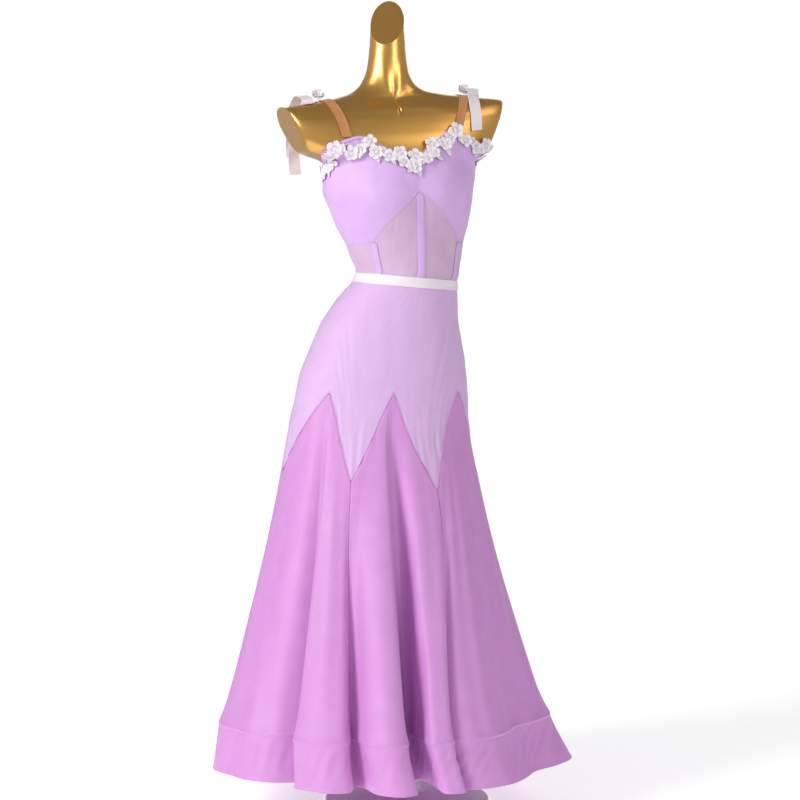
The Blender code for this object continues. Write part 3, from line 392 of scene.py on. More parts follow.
def section_point(at, angle, height):
    """A point of the rounded section at an angle in radians: an ellipse pushed out to its squareness."""
    sine, cosine = np.sin(angle), np.cos(angle)
    power = at["squareness"]
    push = (np.abs(sine) ** power + np.abs(cosine) ** power) ** (-1 / power)
    depth = np.where(cosine > 0, at["front"], at["back"])
    x = at["half_width"] * push * sine
    y = -depth * push * cosine
    turn = np.radians(at["turn"])
    return np.stack(
        [
            at["centre_x"] + x * np.cos(turn) - y * np.sin(turn),
            x * np.sin(turn) + y * np.cos(turn),
            height + np.tan(np.radians(at["tilt"])) * x,
        ],
        axis=-1,
    )


def cup_rise(thread, height):
    """How far the two mounds stand out."""
    turned = (np.asarray(thread) + 180) % 360 - 180
    up = (height - CUP_HEIGHT) / CUP_RISE
    round_about = (np.abs(turned) - CUP_THREAD) / CUP_SPREAD
    return CUP_DEPTH * np.exp(-(up**2) - round_about**2)


def thread_angle(thread, at):
    """A section's angle for a thread, so that equal threads take about equal lengths of cloth."""
    depth = (at["front"] + at["back"]) / 2
    flat = 0.9 * (at["half_width"] - depth) / (at["half_width"] + depth)
    angle = np.radians(thread)
    return angle - flat * np.sin(2 * angle)


def body_point(thread, height, sections, slack=0.0):
    """A place on the body of these sections, moved straight out by the mounds and in by the slack."""
    at = sized(sections, height)
    angle = thread_angle(thread, at)
    point = section_point(at, angle, height)
    turned = angle + np.radians(at["turn"])
    out = np.stack([np.sin(turned), -np.cos(turned), np.zeros_like(turned)], axis=-1)
    return point + out * (cup_rise(thread, height) - slack)[..., None]


def round_curve(at, knots, values):
    """A closed smooth curve through the values, over a turn of 360, with the slope of the neighbours."""
    knots = np.asarray(knots, float)
    values = np.asarray(values, float)
    knots = np.concatenate([knots[-2:] - 360, knots, knots[:2] + 360])
    values = np.concatenate([values[-2:], values, values[:2]])
    slope = np.gradient(values, knots)
    at = (np.asarray(at, float) - knots[2]) % 360 + knots[2]
    i = np.clip(np.searchsorted(knots, at, side="right") - 1, 0, len(knots) - 2)
    width = knots[i + 1] - knots[i]
    u = (at - knots[i]) / width
    return (
        (1 + 2 * u) * (1 - u) ** 2 * values[i]
        + u * (1 - u) ** 2 * width * slope[i]
        + u * u * (3 - 2 * u) * values[i + 1]
        + u * u * (u - 1) * width * slope[i + 1]
    )


def fold_shift(thread):
    """From the plain hem to the folded one, in plan, at a thread."""
    rows = np.array(FOLDS)
    angle = np.radians(rows[:, 1])
    centre_x = SKIRT_SECTIONS[0][1]
    folded_x = round_curve(thread, rows[:, 0], centre_x + rows[:, 2] * np.sin(angle))
    folded_y = round_curve(thread, rows[:, 0], -rows[:, 2] * np.cos(angle))
    plain = body_point(thread, np.full(np.shape(thread), HEM_HEIGHT), DRESS_SECTIONS)
    return np.stack([folded_x - plain[..., 0], folded_y - plain[..., 1], 0 * folded_x], axis=-1)


def fold_growth(thread, height):
    """Nothing at the height where the fold starts, all of it at the hem."""
    rows = np.array(FOLDS)
    start = round_curve(thread, rows[:, 0], rows[:, 3])
    down = np.clip((start - height) / (start - HEM_HEIGHT), 0, 1)
    return down * down * (3 - 2 * down) * 0.35 + down**1.1 * 0.65


def cloth_point(thread, height):
    """A place on the cloth: the body of the dress's sections, with its share of the hem's folds."""
    point = body_point(thread, height, DRESS_SECTIONS)
    return point + fold_shift(thread) * fold_growth(thread, height)[..., None]


def cloth_normal(thread, height):
    """The outward normal, from the cloth's slope along the thread and up."""
    along = cloth_point(thread + STEP * 100, height) - cloth_point(thread - STEP * 100, height)
    up = cloth_point(thread, height + STEP) - cloth_point(thread, height - STEP)
    normal = np.cross(along, up)
    return normal / np.linalg.norm(normal, axis=-1, keepdims=True)


def waist_line(thread):
    """The waist's height, which falls with even slope from the wearer's right to their left."""
    at = np.full(np.shape(thread), WAIST)
    return WAIST + WAIST_SLOPE * cloth_point(thread, at)[..., 0]


def yoke_edge(thread):
    """The zigzag under the hip, straight between the shared threads: godet peaks near each sixty
    threads and yoke points half way between, the one in front on the wearer's left lower."""
    shared = np.arange(-180, 181, THREAD_STEP)
    even = np.interp(shared, *np.array(PEAK_THREADS).T)
    half = GODET_THREADS / 2
    share = np.interp(np.abs((even + half) % GODET_THREADS - half), *np.array(ZIGZAG).T)
    point = YOKE_POINT - LOW_POINT_DROP * np.clip(1 - np.abs(shared - half) / half, 0, 1)
    heights = GODET_PEAK + (point - GODET_PEAK) * share
    return np.interp((np.asarray(thread) + 180) % 360 - 180, shared, heights)


def neckline(thread):
    """The bodice's top edge: a dip at the centre front, a point at each strap, lower at sides and back."""
    turned = (np.asarray(thread, float) + 180) % 360 - 180
    return smooth(turned, *np.array(NECKLINE).T)


def bodice_edge(thread):
    """The bodice's lower edge in front: a point upwards at the centre, level beside the mesh."""
    share = np.clip(np.abs(thread) / MESH_THREAD, 0, 1)
    slope = BODICE_APEX + (BODICE_SIDE - BODICE_APEX) * (share**1.08)
    beyond = np.clip(np.abs(thread) - MESH_THREAD, 0, None)
    return slope - 0.0002 * beyond


def chest_frame():
    """The chest's centre and its directions across and to the back."""
    at = {name: value.item() for name, value in sized(FORM_SECTIONS, np.array([CHEST_HEIGHT])).items()}
    turn = math.radians(at["turn"])
    centre = np.array([at["centre_x"], 0.0, 0.0])
    across = np.array([math.cos(turn), math.sin(turn), math.tan(math.radians(at["tilt"]))])
    back = np.array([-math.sin(turn), math.cos(turn), 0.0])
    return centre, across, back


def inside_form(points):
    """Below one inside the form, one on it, above one outside."""
    height = points[..., 2].copy()
    for _ in range(6):
        at = sized(FORM_SECTIONS, height)
        turn = np.radians(at["turn"])
        x = (points[..., 0] - at["centre_x"]) * np.cos(turn) + points[..., 1] * np.sin(turn)
        y = -(points[..., 0] - at["centre_x"]) * np.sin(turn) + points[..., 1] * np.cos(turn)
        height = points[..., 2] - np.tan(np.radians(at["tilt"])) * x
    depth = np.where(y < 0, at["front"], at["back"])
    power = at["squareness"]
    return (np.abs(x / at["half_width"]) ** power + np.abs(y / depth) ** power) ** (1 / power)


def over_shoulder(across_at, climb, lift, reach=0.0):
    """Points over the shoulder: at a place across the chest and an angle up from the front, over, and
    down, on the form or at least this far from the chest's core."""
    centre, across, back = chest_frame()
    start = centre + across_at[..., None] * across + np.array([0, 0, SHOULDER_CORE])
    out = -np.cos(climb)[..., None] * back + np.sin(climb)[..., None] * np.array([0, 0, 1.0])
    near, far = np.zeros(across_at.shape), np.full(across_at.shape, SHOULDER_REACH)
    for _ in range(HALVINGS):
        middle = (near + far) / 2
        within = inside_form(start + out * middle[..., None]) < 1
        near, far = np.where(within, middle, near), np.where(within, far, middle)
    return start + out * np.maximum(near + lift, reach)[..., None]


def beside(thread, height, across, up):
    """The threads and heights of points this far across and up from a place, measured on the cloth."""
    threads, heights = np.full(across.shape, float(thread)), np.full(across.shape, float(height))
    start = cloth_point(threads, heights)
    by_thread = cloth_point(threads + 0.5, heights) - cloth_point(threads - 0.5, heights)
    by_height = cloth_point(threads, heights + STEP) - cloth_point(threads, heights - STEP)
    by_height /= 2 * STEP
    along = by_thread / np.linalg.norm(by_thread, axis=-1, keepdims=True)
    rise = np.cross(cloth_normal(threads, heights), along)
    for _ in range(3):
        gone = cloth_point(threads, heights) - start
        short = np.stack([across - (gone * along).sum(-1), up - (gone * rise).sum(-1)], axis=-1)
        step_up = short[..., 1] / (by_height * rise).sum(-1)
        step_on = (short[..., 0] - step_up * (by_height * along).sum(-1)) / (by_thread * along).sum(-1)
        threads, heights = threads + step_on, heights + step_up
    return threads, heights


def back_flowers():
    """An even row along the hidden back edge."""
    threads = np.linspace(*BACK_FLOWERS)
    heights = neckline(threads) - BACK_FLOWER_DROP
    return [(t, h, BACK_FLOWER_RADIUS, 35 * i) for i, (t, h) in enumerate(zip(threads, heights))]


def mesh_of(name, points, faces, places, finish):
    """A mesh from one array of points and several arrays of faces, with a place on the cloth in metres
    for every corner."""
    mesh = bpy.data.meshes.new(name)
    corners = np.concatenate([part.ravel() for part in faces])
    sizes = np.concatenate([np.full(len(part), part.shape[1]) for part in faces])
    mesh.vertices.add(len(points))
    mesh.vertices.foreach_set("co", np.ascontiguousarray(points, np.float32).ravel())
    mesh.loops.add(len(corners))
    mesh.loops.foreach_set("vertex_index", corners.astype(np.int32))
    mesh.polygons.add(len(sizes))
    mesh.polygons.foreach_set("loop_start", np.concatenate([[0], np.cumsum(sizes)[:-1]]).astype(np.int32))
    mesh.update(calc_edges=True)
    cloth = mesh.uv_layers.new(name="cloth")
    cloth.data.foreach_set("uv", np.ascontiguousarray(places, np.float32).ravel())
    mesh.shade_smooth()
    mesh.set_sharp_from_angle(angle=math.radians(60))
    mesh.materials.append(finish)
    made = bpy.data.objects.new(name, mesh)
    bpy.context.collection.objects.link(made)
    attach(made, "root")
    return made


def grid_corners(rows, columns, closed):
    """The four corners of each cell of a grid of points, and of the grid of places, which has one more
    column where the grid closes on itself."""
    cells = columns if closed else columns - 1
    i, j = np.meshgrid(np.arange(rows - 1), np.arange(cells), indexing="ij")
    k = (j + 1) % columns
    low, high = i * columns, (i + 1) * columns
    corners = np.stack([low + j, low + k, high + k, high + j], axis=-1).reshape(-1, 4)
    low, high = i * (cells + 1), (i + 1) * (cells + 1)
    spots = np.stack([low + j, low + j + 1, high + j + 1, high + j], axis=-1).reshape(-1, 4)
    return corners, spots


def rim_corners(rows, columns, closed):
    """The cells that join the two sides of a wall along its free edges."""
    count = rows * columns
    cells = columns if closed else columns - 1
    j = np.arange(cells)
    k = (j + 1) % columns
    top, top_spot = (rows - 1) * columns, (rows - 1) * (cells + 1)
    corners = [np.stack([k, j, count + j, count + k], axis=-1)]
    corners.append(np.stack([top + j, top + k, count + top + k, count + top + j], axis=-1))
    spots = [np.stack([j + 1, j, j, j + 1], axis=-1)]
    spots.append(top_spot + np.stack([j, j + 1, j + 1, j], axis=-1))
    if not closed:
        low, high = np.arange(rows - 1) * columns, np.arange(1, rows) * columns
        corners.append(np.stack([low, high, count + high, count + low], axis=-1))
        spots.append(np.stack([low, high, high, low], axis=-1))
        low, high = low + columns - 1, high + columns - 1
        corners.append(np.stack([high, low, count + low, count + high], axis=-1))
        spots.append(np.stack([high, low, low, high], axis=-1))
    return np.concatenate(corners), np.concatenate(spots)


def lengths(grid, axis):
    """How far each point of a grid lies along its row or column from the first one."""
    steps = np.linalg.norm(np.diff(grid, axis=axis), axis=-1)
    start = np.zeros_like(np.take(steps, [0], axis=axis))
    return np.concatenate([start, np.cumsum(steps, axis=axis)], axis=axis)


def wall(name, outer, inner, finish, closed=False):
    """A wall between two grids. Its places are the lengths along its rows, from their middle, and up its
    columns."""
    rows, columns = outer.shape[:2]
    run = np.concatenate([outer, outer[:, :1]], axis=1) if closed else outer
    across, up = lengths(run, 1), lengths(run, 0)
    across -= across[:, -1:] / 2
    places = np.stack([across, up], axis=-1).reshape(-1, 2)
    corners, spots = grid_corners(rows, columns, closed)
    rim, rim_spots = rim_corners(rows, columns, closed)
    faces = [corners, corners[:, ::-1] + rows * columns, rim]
    at = np.concatenate([spots, spots[:, ::-1], rim_spots])
    points = np.concatenate([outer.reshape(-1, 3), inner.reshape(-1, 3)])
    return mesh_of(name, points, faces, places[at.ravel()], finish)


def put_on(name, outer, inner, finish, closed=False):
    """A wall that takes the place of the node of its name."""
    made = wall(name, outer, inner, finish, closed)
    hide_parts(name)
    return made


def skin(name, grid, finish):
    """A closed body from rings of points, from the bottom up, with a flat face at each end."""
    rows, columns = grid.shape[:2]
    corners, _ = grid_corners(rows, columns, True)
    ends = [np.arange(columns)[None, ::-1], (rows - 1) * columns + np.arange(columns)[None, :]]
    points = grid.reshape(-1, 3)
    faces = [corners, *ends]
    at = np.concatenate([part.ravel() for part in faces])
    return mesh_of(name, points, faces, points[at][:, [0, 2]], finish)


def as_cloth(grid, closed, width=None):
    """Works out a piece's flat size, cut to its longest row, or this width, and its longest column, and
    its area; nothing is done with them.
    """
    run = np.concatenate([grid, grid[:, :1]], axis=1) if closed else grid
    width = width or lengths(run, 1)[:, -1].max()
    length = lengths(run, 0)[-1].max()
    side = np.cross(run[1:, 1:] - run[:-1, :-1], run[1:, :-1] - run[:-1, 1:])
    area = np.linalg.norm(side, axis=-1).sum() / 2
    area = min(area, width * length)


def bump(distance):
    """One at nought, fading on both sides as a bell."""
    return np.exp(-np.square(distance))


def ramp(value, start, end):
    """From nought at the start to one at the end, level at both."""
    share = np.clip((value - start) / (end - start), 0, 1)
    return share * share * (3 - 2 * share)


def uneven(along, up, seed, lean=0.35):
    """Soft uneven waves of about one unit: a sum of sines that lean a little to either side, with
    pitches from 0.6 to 1.6 and seeded phases."""
    random = np.random.default_rng(seed)
    total = np.zeros(np.broadcast(along, up).shape)
    for _ in range(8):
        turn = random.uniform(-lean, lean)
        pitch = random.uniform(0.6, 1.6)
        phase = random.uniform(0, 2 * math.pi)
        total += np.sin(2 * math.pi * pitch * (along * math.cos(turn) + up * math.sin(turn)) + phase)
    return total / 2.8


def cloth_grid(threads, low, high, shares, gap):
    """Threads and heights of a panel: rows at these shares between its lower and upper edge, and its two
    sides moved in by half a seam gap."""
    height = low + (high - low) * np.asarray(shares)[:, None]
    thread = np.array(np.broadcast_to(threads, height.shape), float)
    sides, at = thread[:, [0, -1]], height[:, [0, -1]]
    reach = np.linalg.norm(cloth_point(sides + 0.5, at) - cloth_point(sides - 0.5, at), axis=-1)
    thread[:, 0] += gap / 2 / reach[:, 0]
    thread[:, -1] -= gap / 2 / reach[:, 1]
    return thread, height


def off_body(thread, height, lift):
    """The cloth's points moved out along its normal."""
    lift = np.broadcast_to(lift, thread.shape)
    return cloth_point(thread, height) + cloth_normal(thread, height) * lift[..., None]


def even_hem(first, last, count):
    """Threads between which the folded hem has equal lengths of cloth."""
    fine = np.linspace(first, last, 1500)
    gone = lengths(cloth_point(fine, np.full(fine.shape, HEM_HEIGHT))[None], 1)[0]
    return np.interp(np.linspace(0, gone[-1], count), gone, fine)


def along_cloth(thread, height):
    """Lengths along the rows, from their middles."""
    gone = lengths(cloth_point(thread, height), 1)
    return gone - gone[:, -1:] / 2


def edge_distance(thread, height, edge):
    """How far a place lies from an edge line given as a function of the thread, at right angles to it."""
    away = height - edge(thread)
    at = edge(thread)
    reach = np.linalg.norm(cloth_point(thread + 0.5, at) - cloth_point(thread - 0.5, at), axis=-1)
    slope = (edge(thread + 0.5) - edge(thread - 0.5)) / reach
    return away / np.sqrt(1 + slope * slope)


def make_bodice():
    """Stretch cloth drawn over the bust: soft uneven pulls, and in front a rolled lower edge with a
    groove over it. The back has a seam up its middle: a dip between two ridges."""
    threads = np.linspace(-90, 90, 151)
    top = neckline(threads) - BINDING_WIDTH
    low = bodice_edge(threads) + SEAM_GAP
    thread, height = cloth_grid(threads, low, top, np.linspace(0, 1, 76) ** 1.1, SEAM_GAP)
    away = edge_distance(thread, height, bodice_edge)
    along = along_cloth(thread, height)
    pulls = 0.00035 * uneven(along / 0.035, height / 0.09, 3, 1.0) * ramp(away, 0.004, 0.03)
    rolled_edge = 0.0005 * bump((away - 0.0014) / 0.0011)
    stitch_groove = 0.0003 * bump((away - 0.0042) / 0.0014)
    rise = pulls + rolled_edge - stitch_groove
    inner = off_body(thread, height, EASE + rise)
    outer = off_body(thread, height, EASE + WALL + rise)
    made = put_on("bodice_front", outer, inner, STRETCH)
    as_cloth(outer, False)

    threads = np.linspace(90, 270, 121)
    top = neckline(threads) - BINDING_WIDTH
    low = waist_line(threads) + SEAM_GAP
    thread, height = cloth_grid(threads, low, top, np.linspace(0, 1, 68), SIDE_GAP)
    along = along_cloth(thread, height)
    pulls = 0.0003 * uneven(along / 0.040, height / 0.07, 5, 1.2)
    seam_ridges = 0.0003 * bump((np.abs(along) - 0.0028) / 0.0018)
    seam_dip = 0.0004 * bump(along / 0.0012)
    rise = pulls + seam_ridges - seam_dip
    inner = off_body(thread, height, EASE + rise)
    outer = off_body(thread, height, EASE + WALL + rise)
    made = put_on("bodice_back", outer, inner, STRETCH)
    as_cloth(outer, False)


def make_mesh_panels():
    """Sheer panels between the bodice's lower edge and the waist, with faint ripples up and down."""
    for name, first, last, count in (
        ("mesh_left", -90, -MESH_THREAD, 41),
        ("mesh_centre", -MESH_THREAD, MESH_THREAD, 111),
        ("mesh_right", MESH_THREAD, 90, 41),
    ):
        threads = np.linspace(first, last, count)
        low, high = waist_line(threads) + SEAM_GAP, bodice_edge(threads)
        thread, height = cloth_grid(threads, low, high, np.linspace(0, 1, 36), SEAM_GAP)
        along = along_cloth(thread, height)
        ripples = 0.00009 * uneven(along / 0.020, height / 0.10, 11, 0.2)
        inner = off_body(thread, height, EASE + MESH_INSET + ripples)
        outer = off_body(thread, height, EASE + WALL + ripples)
        made = put_on(name, outer, inner, MESH)
        as_cloth(outer, False)


def make_binding():
    """A rounded band round the whole top edge: it stands out by a half circle's rise across its width."""
    threads = np.linspace(-180, 180, 361)[:-1]
    share = np.linspace(0, 1, 9)[:, None]
    top = neckline(threads)
    gap = 1.5 * SEAM_GAP
    height = top - BINDING_WIDTH + gap + (BINDING_WIDTH - gap) * share
    thread = np.broadcast_to(threads, height.shape)
    half_circle = 0.0010 * np.sqrt(np.clip(1 - (2 * share - 1) ** 2, 0, 1))
    tugs = 0.00012 * np.sin(thread * 2.1 + 3 * np.sin(thread / 9))
    rise = half_circle + tugs
    inner = off_body(thread, height, EASE)
    outer = off_body(thread, height, EASE + WALL - 0.0003 + rise)
    made = put_on("neck_binding", outer, inner, STRETCH, True)
    as_cloth(outer, True)


def make_boning():
    """Channels on the mesh: a flat rib that falls off to thin edges with a row of stitches in each."""
    for name, middle, wide in (
        ("boning_left", -MESH_THREAD, BONING_WIDTH * 0.8),
        ("boning_centre", 0.0, BONING_WIDTH),
        ("boning_right", MESH_THREAD, BONING_WIDTH * 0.8),
    ):
        low = float(waist_line(np.array([middle]))[0]) + BELT_WIDTH / 2 + SEAM_GAP
        high = float(bodice_edge(np.array([middle]))[0]) - 0.0012
        rows, columns = 60, 17
        height = np.linspace(low, high, rows)[:, None] + np.zeros((1, columns))
        here, at = np.full((rows, 1), middle), height[:, :1]
        reach = np.linalg.norm(cloth_point(here + 1, at) - cloth_point(here, at), axis=-1)
        share = np.linspace(-1, 1, columns)[None, :]
        out = np.abs(share)
        thread = middle + share * wide / 2 / reach
        height[-1] -= 0.006 * out[0]
        height[-2] -= 0.003 * out[0]
        lift = EASE + WALL + BONING_LIFT
        rib = 0.0009 * (1 - ramp(out, 0.45, 0.95))
        thin_edges = 0.00025 * bump((out - 0.85) / 0.12)
        stitches = 0.00015 * np.cos(2 * math.pi * height / 0.0035) * bump((out - 0.68) / 0.10)
        rise = rib + thin_edges - stitches
        outer = off_body(thread, height, lift + 0.0006 + rise)
        inner = off_body(thread, height, lift)
        made = put_on(name, outer, inner, STRETCH)
        as_cloth(outer, False)


def make_belt():
    """A satin band at the waist: flat across, with rolled edges and a slow uneven wave round it."""
    threads = np.linspace(-180, 180, 361)[:-1]
    share = np.linspace(-1, 1, 11)[:, None]
    height = waist_line(threads) + share * BELT_WIDTH / 2
    thread = np.broadcast_to(threads, height.shape)
    turn = np.radians(thread)
    rolled_edges = 0.00045 * bump((np.abs(share) - 0.86) / 0.10)
    slow_wave = 0.6 * np.sin(9 * turn + 2 * np.sin(2 * turn))
    quick_wave = 0.4 * np.sin(23 * turn + 3 * np.sin(turn) + 2 * share)
    wave_height = 0.00022
    rise = rolled_edges + wave_height * (slow_wave + quick_wave) * (1 - share**2) + wave_height
    lift = EASE + WALL + SEAM_GAP + 0.0002
    inner = off_body(thread, height, lift)
    outer = off_body(thread, height, lift + BELT_WALL - 0.0003 + rise)
    made = put_on("belt", outer, inner, RIBBON, True)
    as_cloth(outer, True)


def make_yokes():
    """Stretch yokes: drag lines down to each low point, small puckers and a thin dip by the zigzag,
    gathers under the waist and a slow slackness over all. They fade away from their edges as powers
    of e."""
    for name, first, last, seed in (("yoke_front", -90, 90, 21), ("yoke_back", 90, 270, 22)):
        threads = np.linspace(first, last, 181)
        low, high = yoke_edge(threads) + SEAM_GAP, waist_line(threads)
        shares = np.concatenate([np.linspace(0, 0.10, 13)[:-1], np.linspace(0.10, 1, 52)])
        thread, height = cloth_grid(threads, low, high, shares, SEAM_GAP)
        along = along_cloth(thread, height)
        away = edge_distance(thread, height, yoke_edge)
        by_point = bump((thread % GODET_THREADS - GODET_THREADS / 2) / 19)
        below_peaks = 1 - ramp(height, YOKE_POINT + 0.01, GODET_PEAK - 0.01)
        drag_lines = 0.0007 * uneven(thread / 6.5, height / 0.30, seed, 0.12) * (by_point * below_peaks)
        puckers = 0.00022 * uneven(along / 0.011, height / 0.05, seed + 2, 0.45) * np.exp(-away / 0.028)
        gathers = 0.00024 * uneven(along / 0.009, height / 0.05, seed + 5, 0.3)
        gathers *= np.exp((height - high) / 0.022)
        slackness = 0.00030 * uneven(along / 0.07, height / 0.13, seed + 9, 1.2)
        thin_dip = 0.0004 * bump((away - 0.0030) / 0.0016)
        rise = drag_lines + puckers + gathers + slackness - thin_dip
        inner = off_body(thread, height, EASE + np.clip(rise, -0.0007, None))
        outer = off_body(thread, height, EASE + WALL + rise)
        made = put_on(name, outer, inner, YOKE)
        level = off_body(threads, np.full(threads.shape, GODET_PEAK), EASE)
        as_cloth(outer, False, lengths(level[None], 1)[0, -1])


def make_godets():
    """Satin godets: long soft waves down the fall, puckers that fade below the zigzag, dips at seams,
    and at the foot the same standing out as the hem band's top."""
    for number in range(6):
        middle = number * GODET_THREADS if number < 4 else number * GODET_THREADS - 360
        threads = even_hem(middle - GODET_THREADS / 2, middle + GODET_THREADS / 2, 95)
        low = np.full(threads.shape, BAND_TOP + 0.3 * SEAM_GAP)
        high = yoke_edge(threads)
        shares = np.concatenate([np.linspace(0, 0.93, 76), np.linspace(0.93, 1, 12)[1:]])
        thread, height = cloth_grid(threads, low, high, shares, SEAM_GAP)
        along = along_cloth(thread, height)
        away = -edge_distance(thread, height, yoke_edge)
        side = lengths(cloth_point(thread, height), 1)
        side = np.minimum(side, side[:, -1:] - side)
        waves = 0.0011 * uneven(along / 0.075, height / 0.60, 31 + number, 0.25) * ramp(away, 0.0, 0.10)
        puckers = 0.00028 * uneven(along / 0.010, height / 0.05, 41 + number, 0.35)
        puckers *= np.exp(-away / 0.020)
        stand = BAND_STAND * np.exp(-(height - BAND_TOP) / 0.022)
        seam_dips = 0.0012 * bump(away / 0.0024) + 0.0008 * bump(side / 0.0016)
        seam_ridge = 0.0004 * bump((side - 0.0040) / 0.0020)
        rise = waves + puckers + stand - seam_dips + seam_ridge
        inner = off_body(thread, height, EASE + rise)
        outer = off_body(thread, height, EASE + WALL + rise)
        name = f"godet_{number + 1}"
        made = put_on(name, outer, inner, SATIN)
        as_cloth(outer, False)


def make_hem():
    """Hem bands: a stitched ridge at the top, slanting puckers below it and a rolled lower edge."""
    heights = np.concatenate([
        HEM_HEIGHT + np.array([0, 0.0012, 0.0024, 0.0040, 0.0060, 0.0090]),
        np.arange(HEM_HEIGHT + 0.013, BAND_TOP - 0.014, 0.0048),
        np.linspace(BAND_TOP - 0.012, BAND_TOP, 15),
    ])
    shares = (heights - HEM_HEIGHT) / (BAND_TOP - HEM_HEIGHT)
    for name, first, last, seed in (("hem_band_front", -90, 90, 61), ("hem_band_back", 90, 270, 62)):
        threads = even_hem(first, last, 361)
        low, high = np.full(threads.shape, HEM_HEIGHT), np.full(threads.shape, BAND_TOP)
        thread, height = cloth_grid(threads, low, high, shares, SEAM_GAP)
        along = along_cloth(thread, height)
        down = BAND_TOP - height
        fade = ramp(down, 0.006, 0.018) * (1 - 0.55 * ramp(down, 0.045, 0.085))
        slanting = 0.00080 * uneven((along + 0.7 * down) / 0.034, down / 0.09, seed, 0.5) * fade
        fine = 0.00026 * uneven(along / 0.009, down / 0.05, seed + 4, 0.5) * bump((down - 0.010) / 0.009)
        stand = BAND_STAND * np.exp(-down / 0.030)
        ridge = 0.0012 * bump((down - 0.0030) / 0.0024)
        stitched = 0.8 + 0.2 * np.cos(2 * math.pi * along / 0.008)
        groove = 0.0005 * bump((down - 0.0072) / 0.0013) * stitched
        rolled_edge = 0.0006 * bump((height - HEM_HEIGHT - 0.0016) / 0.0016)
        rise = slanting + fine + stand + ridge - groove + rolled_edge
        thicker = 0.0012 * bump((down - 0.0026) / 0.0019)
        inner = off_body(thread, height, EASE + rise - thicker)
        outer = off_body(thread, height, EASE + WALL + rise)
        made = put_on(name, outer, inner, SATIN)
        as_cloth(outer, False)


def form_relief(thread, height):
    """Low relief of a dress form's chest in front: collar bones, hollows over them, a notch between them
    and two bands up the neck, each a bell across its line."""
    turned = (thread + 180) % 360 - 180
    out = np.abs(turned)
    ends = ramp(out, 5, 13) * (1 - ramp(out, 38, 52))
    collar_bones = 0.0026 * bump((height - 1.351) / 0.0090) * ends
    hollows = 0.0014 * bump((height - 1.371) / 0.0100) * ends
    notch = 0.0020 * bump(turned / 10) * bump((height - 1.358) / 0.015)
    line = 10 + 260 * (height - 1.37)
    up_the_neck = ramp(height, 1.360, 1.376) * (1 - ramp(height, 1.40, 1.46))
    neck_bands = 0.0022 * bump((out - line) / 13) * up_the_neck
    return collar_bones - hollows - notch + neck_bands


def make_form():
    """Rings up the figure, drawn back softly to the arms' flat planes, and gathered to the neck's slant:
    above the neck's foot each column's heights are shares of its way up to the plane."""
    threads = np.arange(216) * 360 / 216
    rings = np.concatenate([
        np.linspace(0.655, 0.690, 10)[:-1],
        np.linspace(0.690, 1.190, 48)[:-1],
        np.linspace(1.190, 1.240, 14)[:-1],
        np.linspace(1.240, NECK_FOOT, 124),
    ])
    height, thread = np.meshgrid(rings, threads, indexing="ij")
    slack = smooth(height, *np.array(FORM_SLACK).T)
    points = body_point(thread, height, FORM_SECTIONS, slack)
    up, along = np.gradient(points, axis=0), np.gradient(points, axis=1)
    normal = np.cross(along, up)
    normal /= np.linalg.norm(normal, axis=-1, keepdims=True) + 1e-12
    points = points + normal * form_relief(thread, height)[..., None]
    centre, across, _ = chest_frame()
    low, high = ARM_HEIGHTS
    level = np.array([0, 0, (low + high) / 2])
    for side, reach_low, reach_high in ARM_CUTS:
        lean = math.atan2(reach_high - reach_low, high - low)
        face = centre + side * across * (reach_low + reach_high) / 2 + level
        out = side * across * math.cos(lean) - np.array([0, 0, math.sin(lean)])
        out = out / np.linalg.norm(out)
        beyond = (points - face) @ out
        beyond = np.logaddexp(0, beyond / ARM_CUT_SOFTNESS) * ARM_CUT_SOFTNESS
        points = points - np.where(beyond > 1e-7, beyond, 0)[..., None] * out
    slope, facing = math.radians(NECK_SLOPE), math.radians(NECK_FACING)
    level_way = np.array([math.sin(facing), -math.cos(facing), 0])
    plane = math.sin(slope) * level_way + np.array([0, 0, math.cos(slope)])
    cut_at = np.array([centre[0], 0, NECK_CUT])
    share = np.linspace(0, 1, 50)[1:, None]
    top = np.full(threads.shape, NECK_GUESS)
    for _ in range(8):
        edge = body_point(threads, top, FORM_SECTIONS)
        top = top - ((edge - cut_at) @ plane) / plane[2] * 0.8
    neck_height = NECK_FOOT + (top - NECK_FOOT) * share
    neck_thread = np.broadcast_to(threads, neck_height.shape)
    neck = body_point(neck_thread, neck_height, FORM_SECTIONS)
    middle = np.stack([np.full(threads.shape, centre[0]), 0 * threads, 0 * threads], axis=-1)
    outward = neck - middle
    outward[..., 2] = 0
    outward /= np.linalg.norm(outward, axis=-1, keepdims=True)
    neck = neck + outward * form_relief(neck_thread, neck_height)[..., None]
    rim = neck[-1]
    hub = rim.mean(axis=0)
    shrink = np.array([0.985, 0.95, 0.85, 0.6, 0.3, 0.1])[:, None, None]
    closing = hub + (rim - hub) * shrink
    made = skin("dress_form", np.concatenate([points, neck, closing]), GOLD)
    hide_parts("dress_form")


def turned_piece(name, profile, columns, finish):
    """A profile of radius and height turned round the pole's axis."""
    angle = np.arange(columns) * 2 * math.pi / columns
    radius, height = np.array(profile).T
    grid = np.stack([
        radius[:, None] * np.sin(angle),
        -radius[:, None] * np.cos(angle),
        np.broadcast_to(height[:, None], (len(radius), columns)),
    ], axis=-1)
    made = skin(name, grid, finish)
    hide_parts(name)


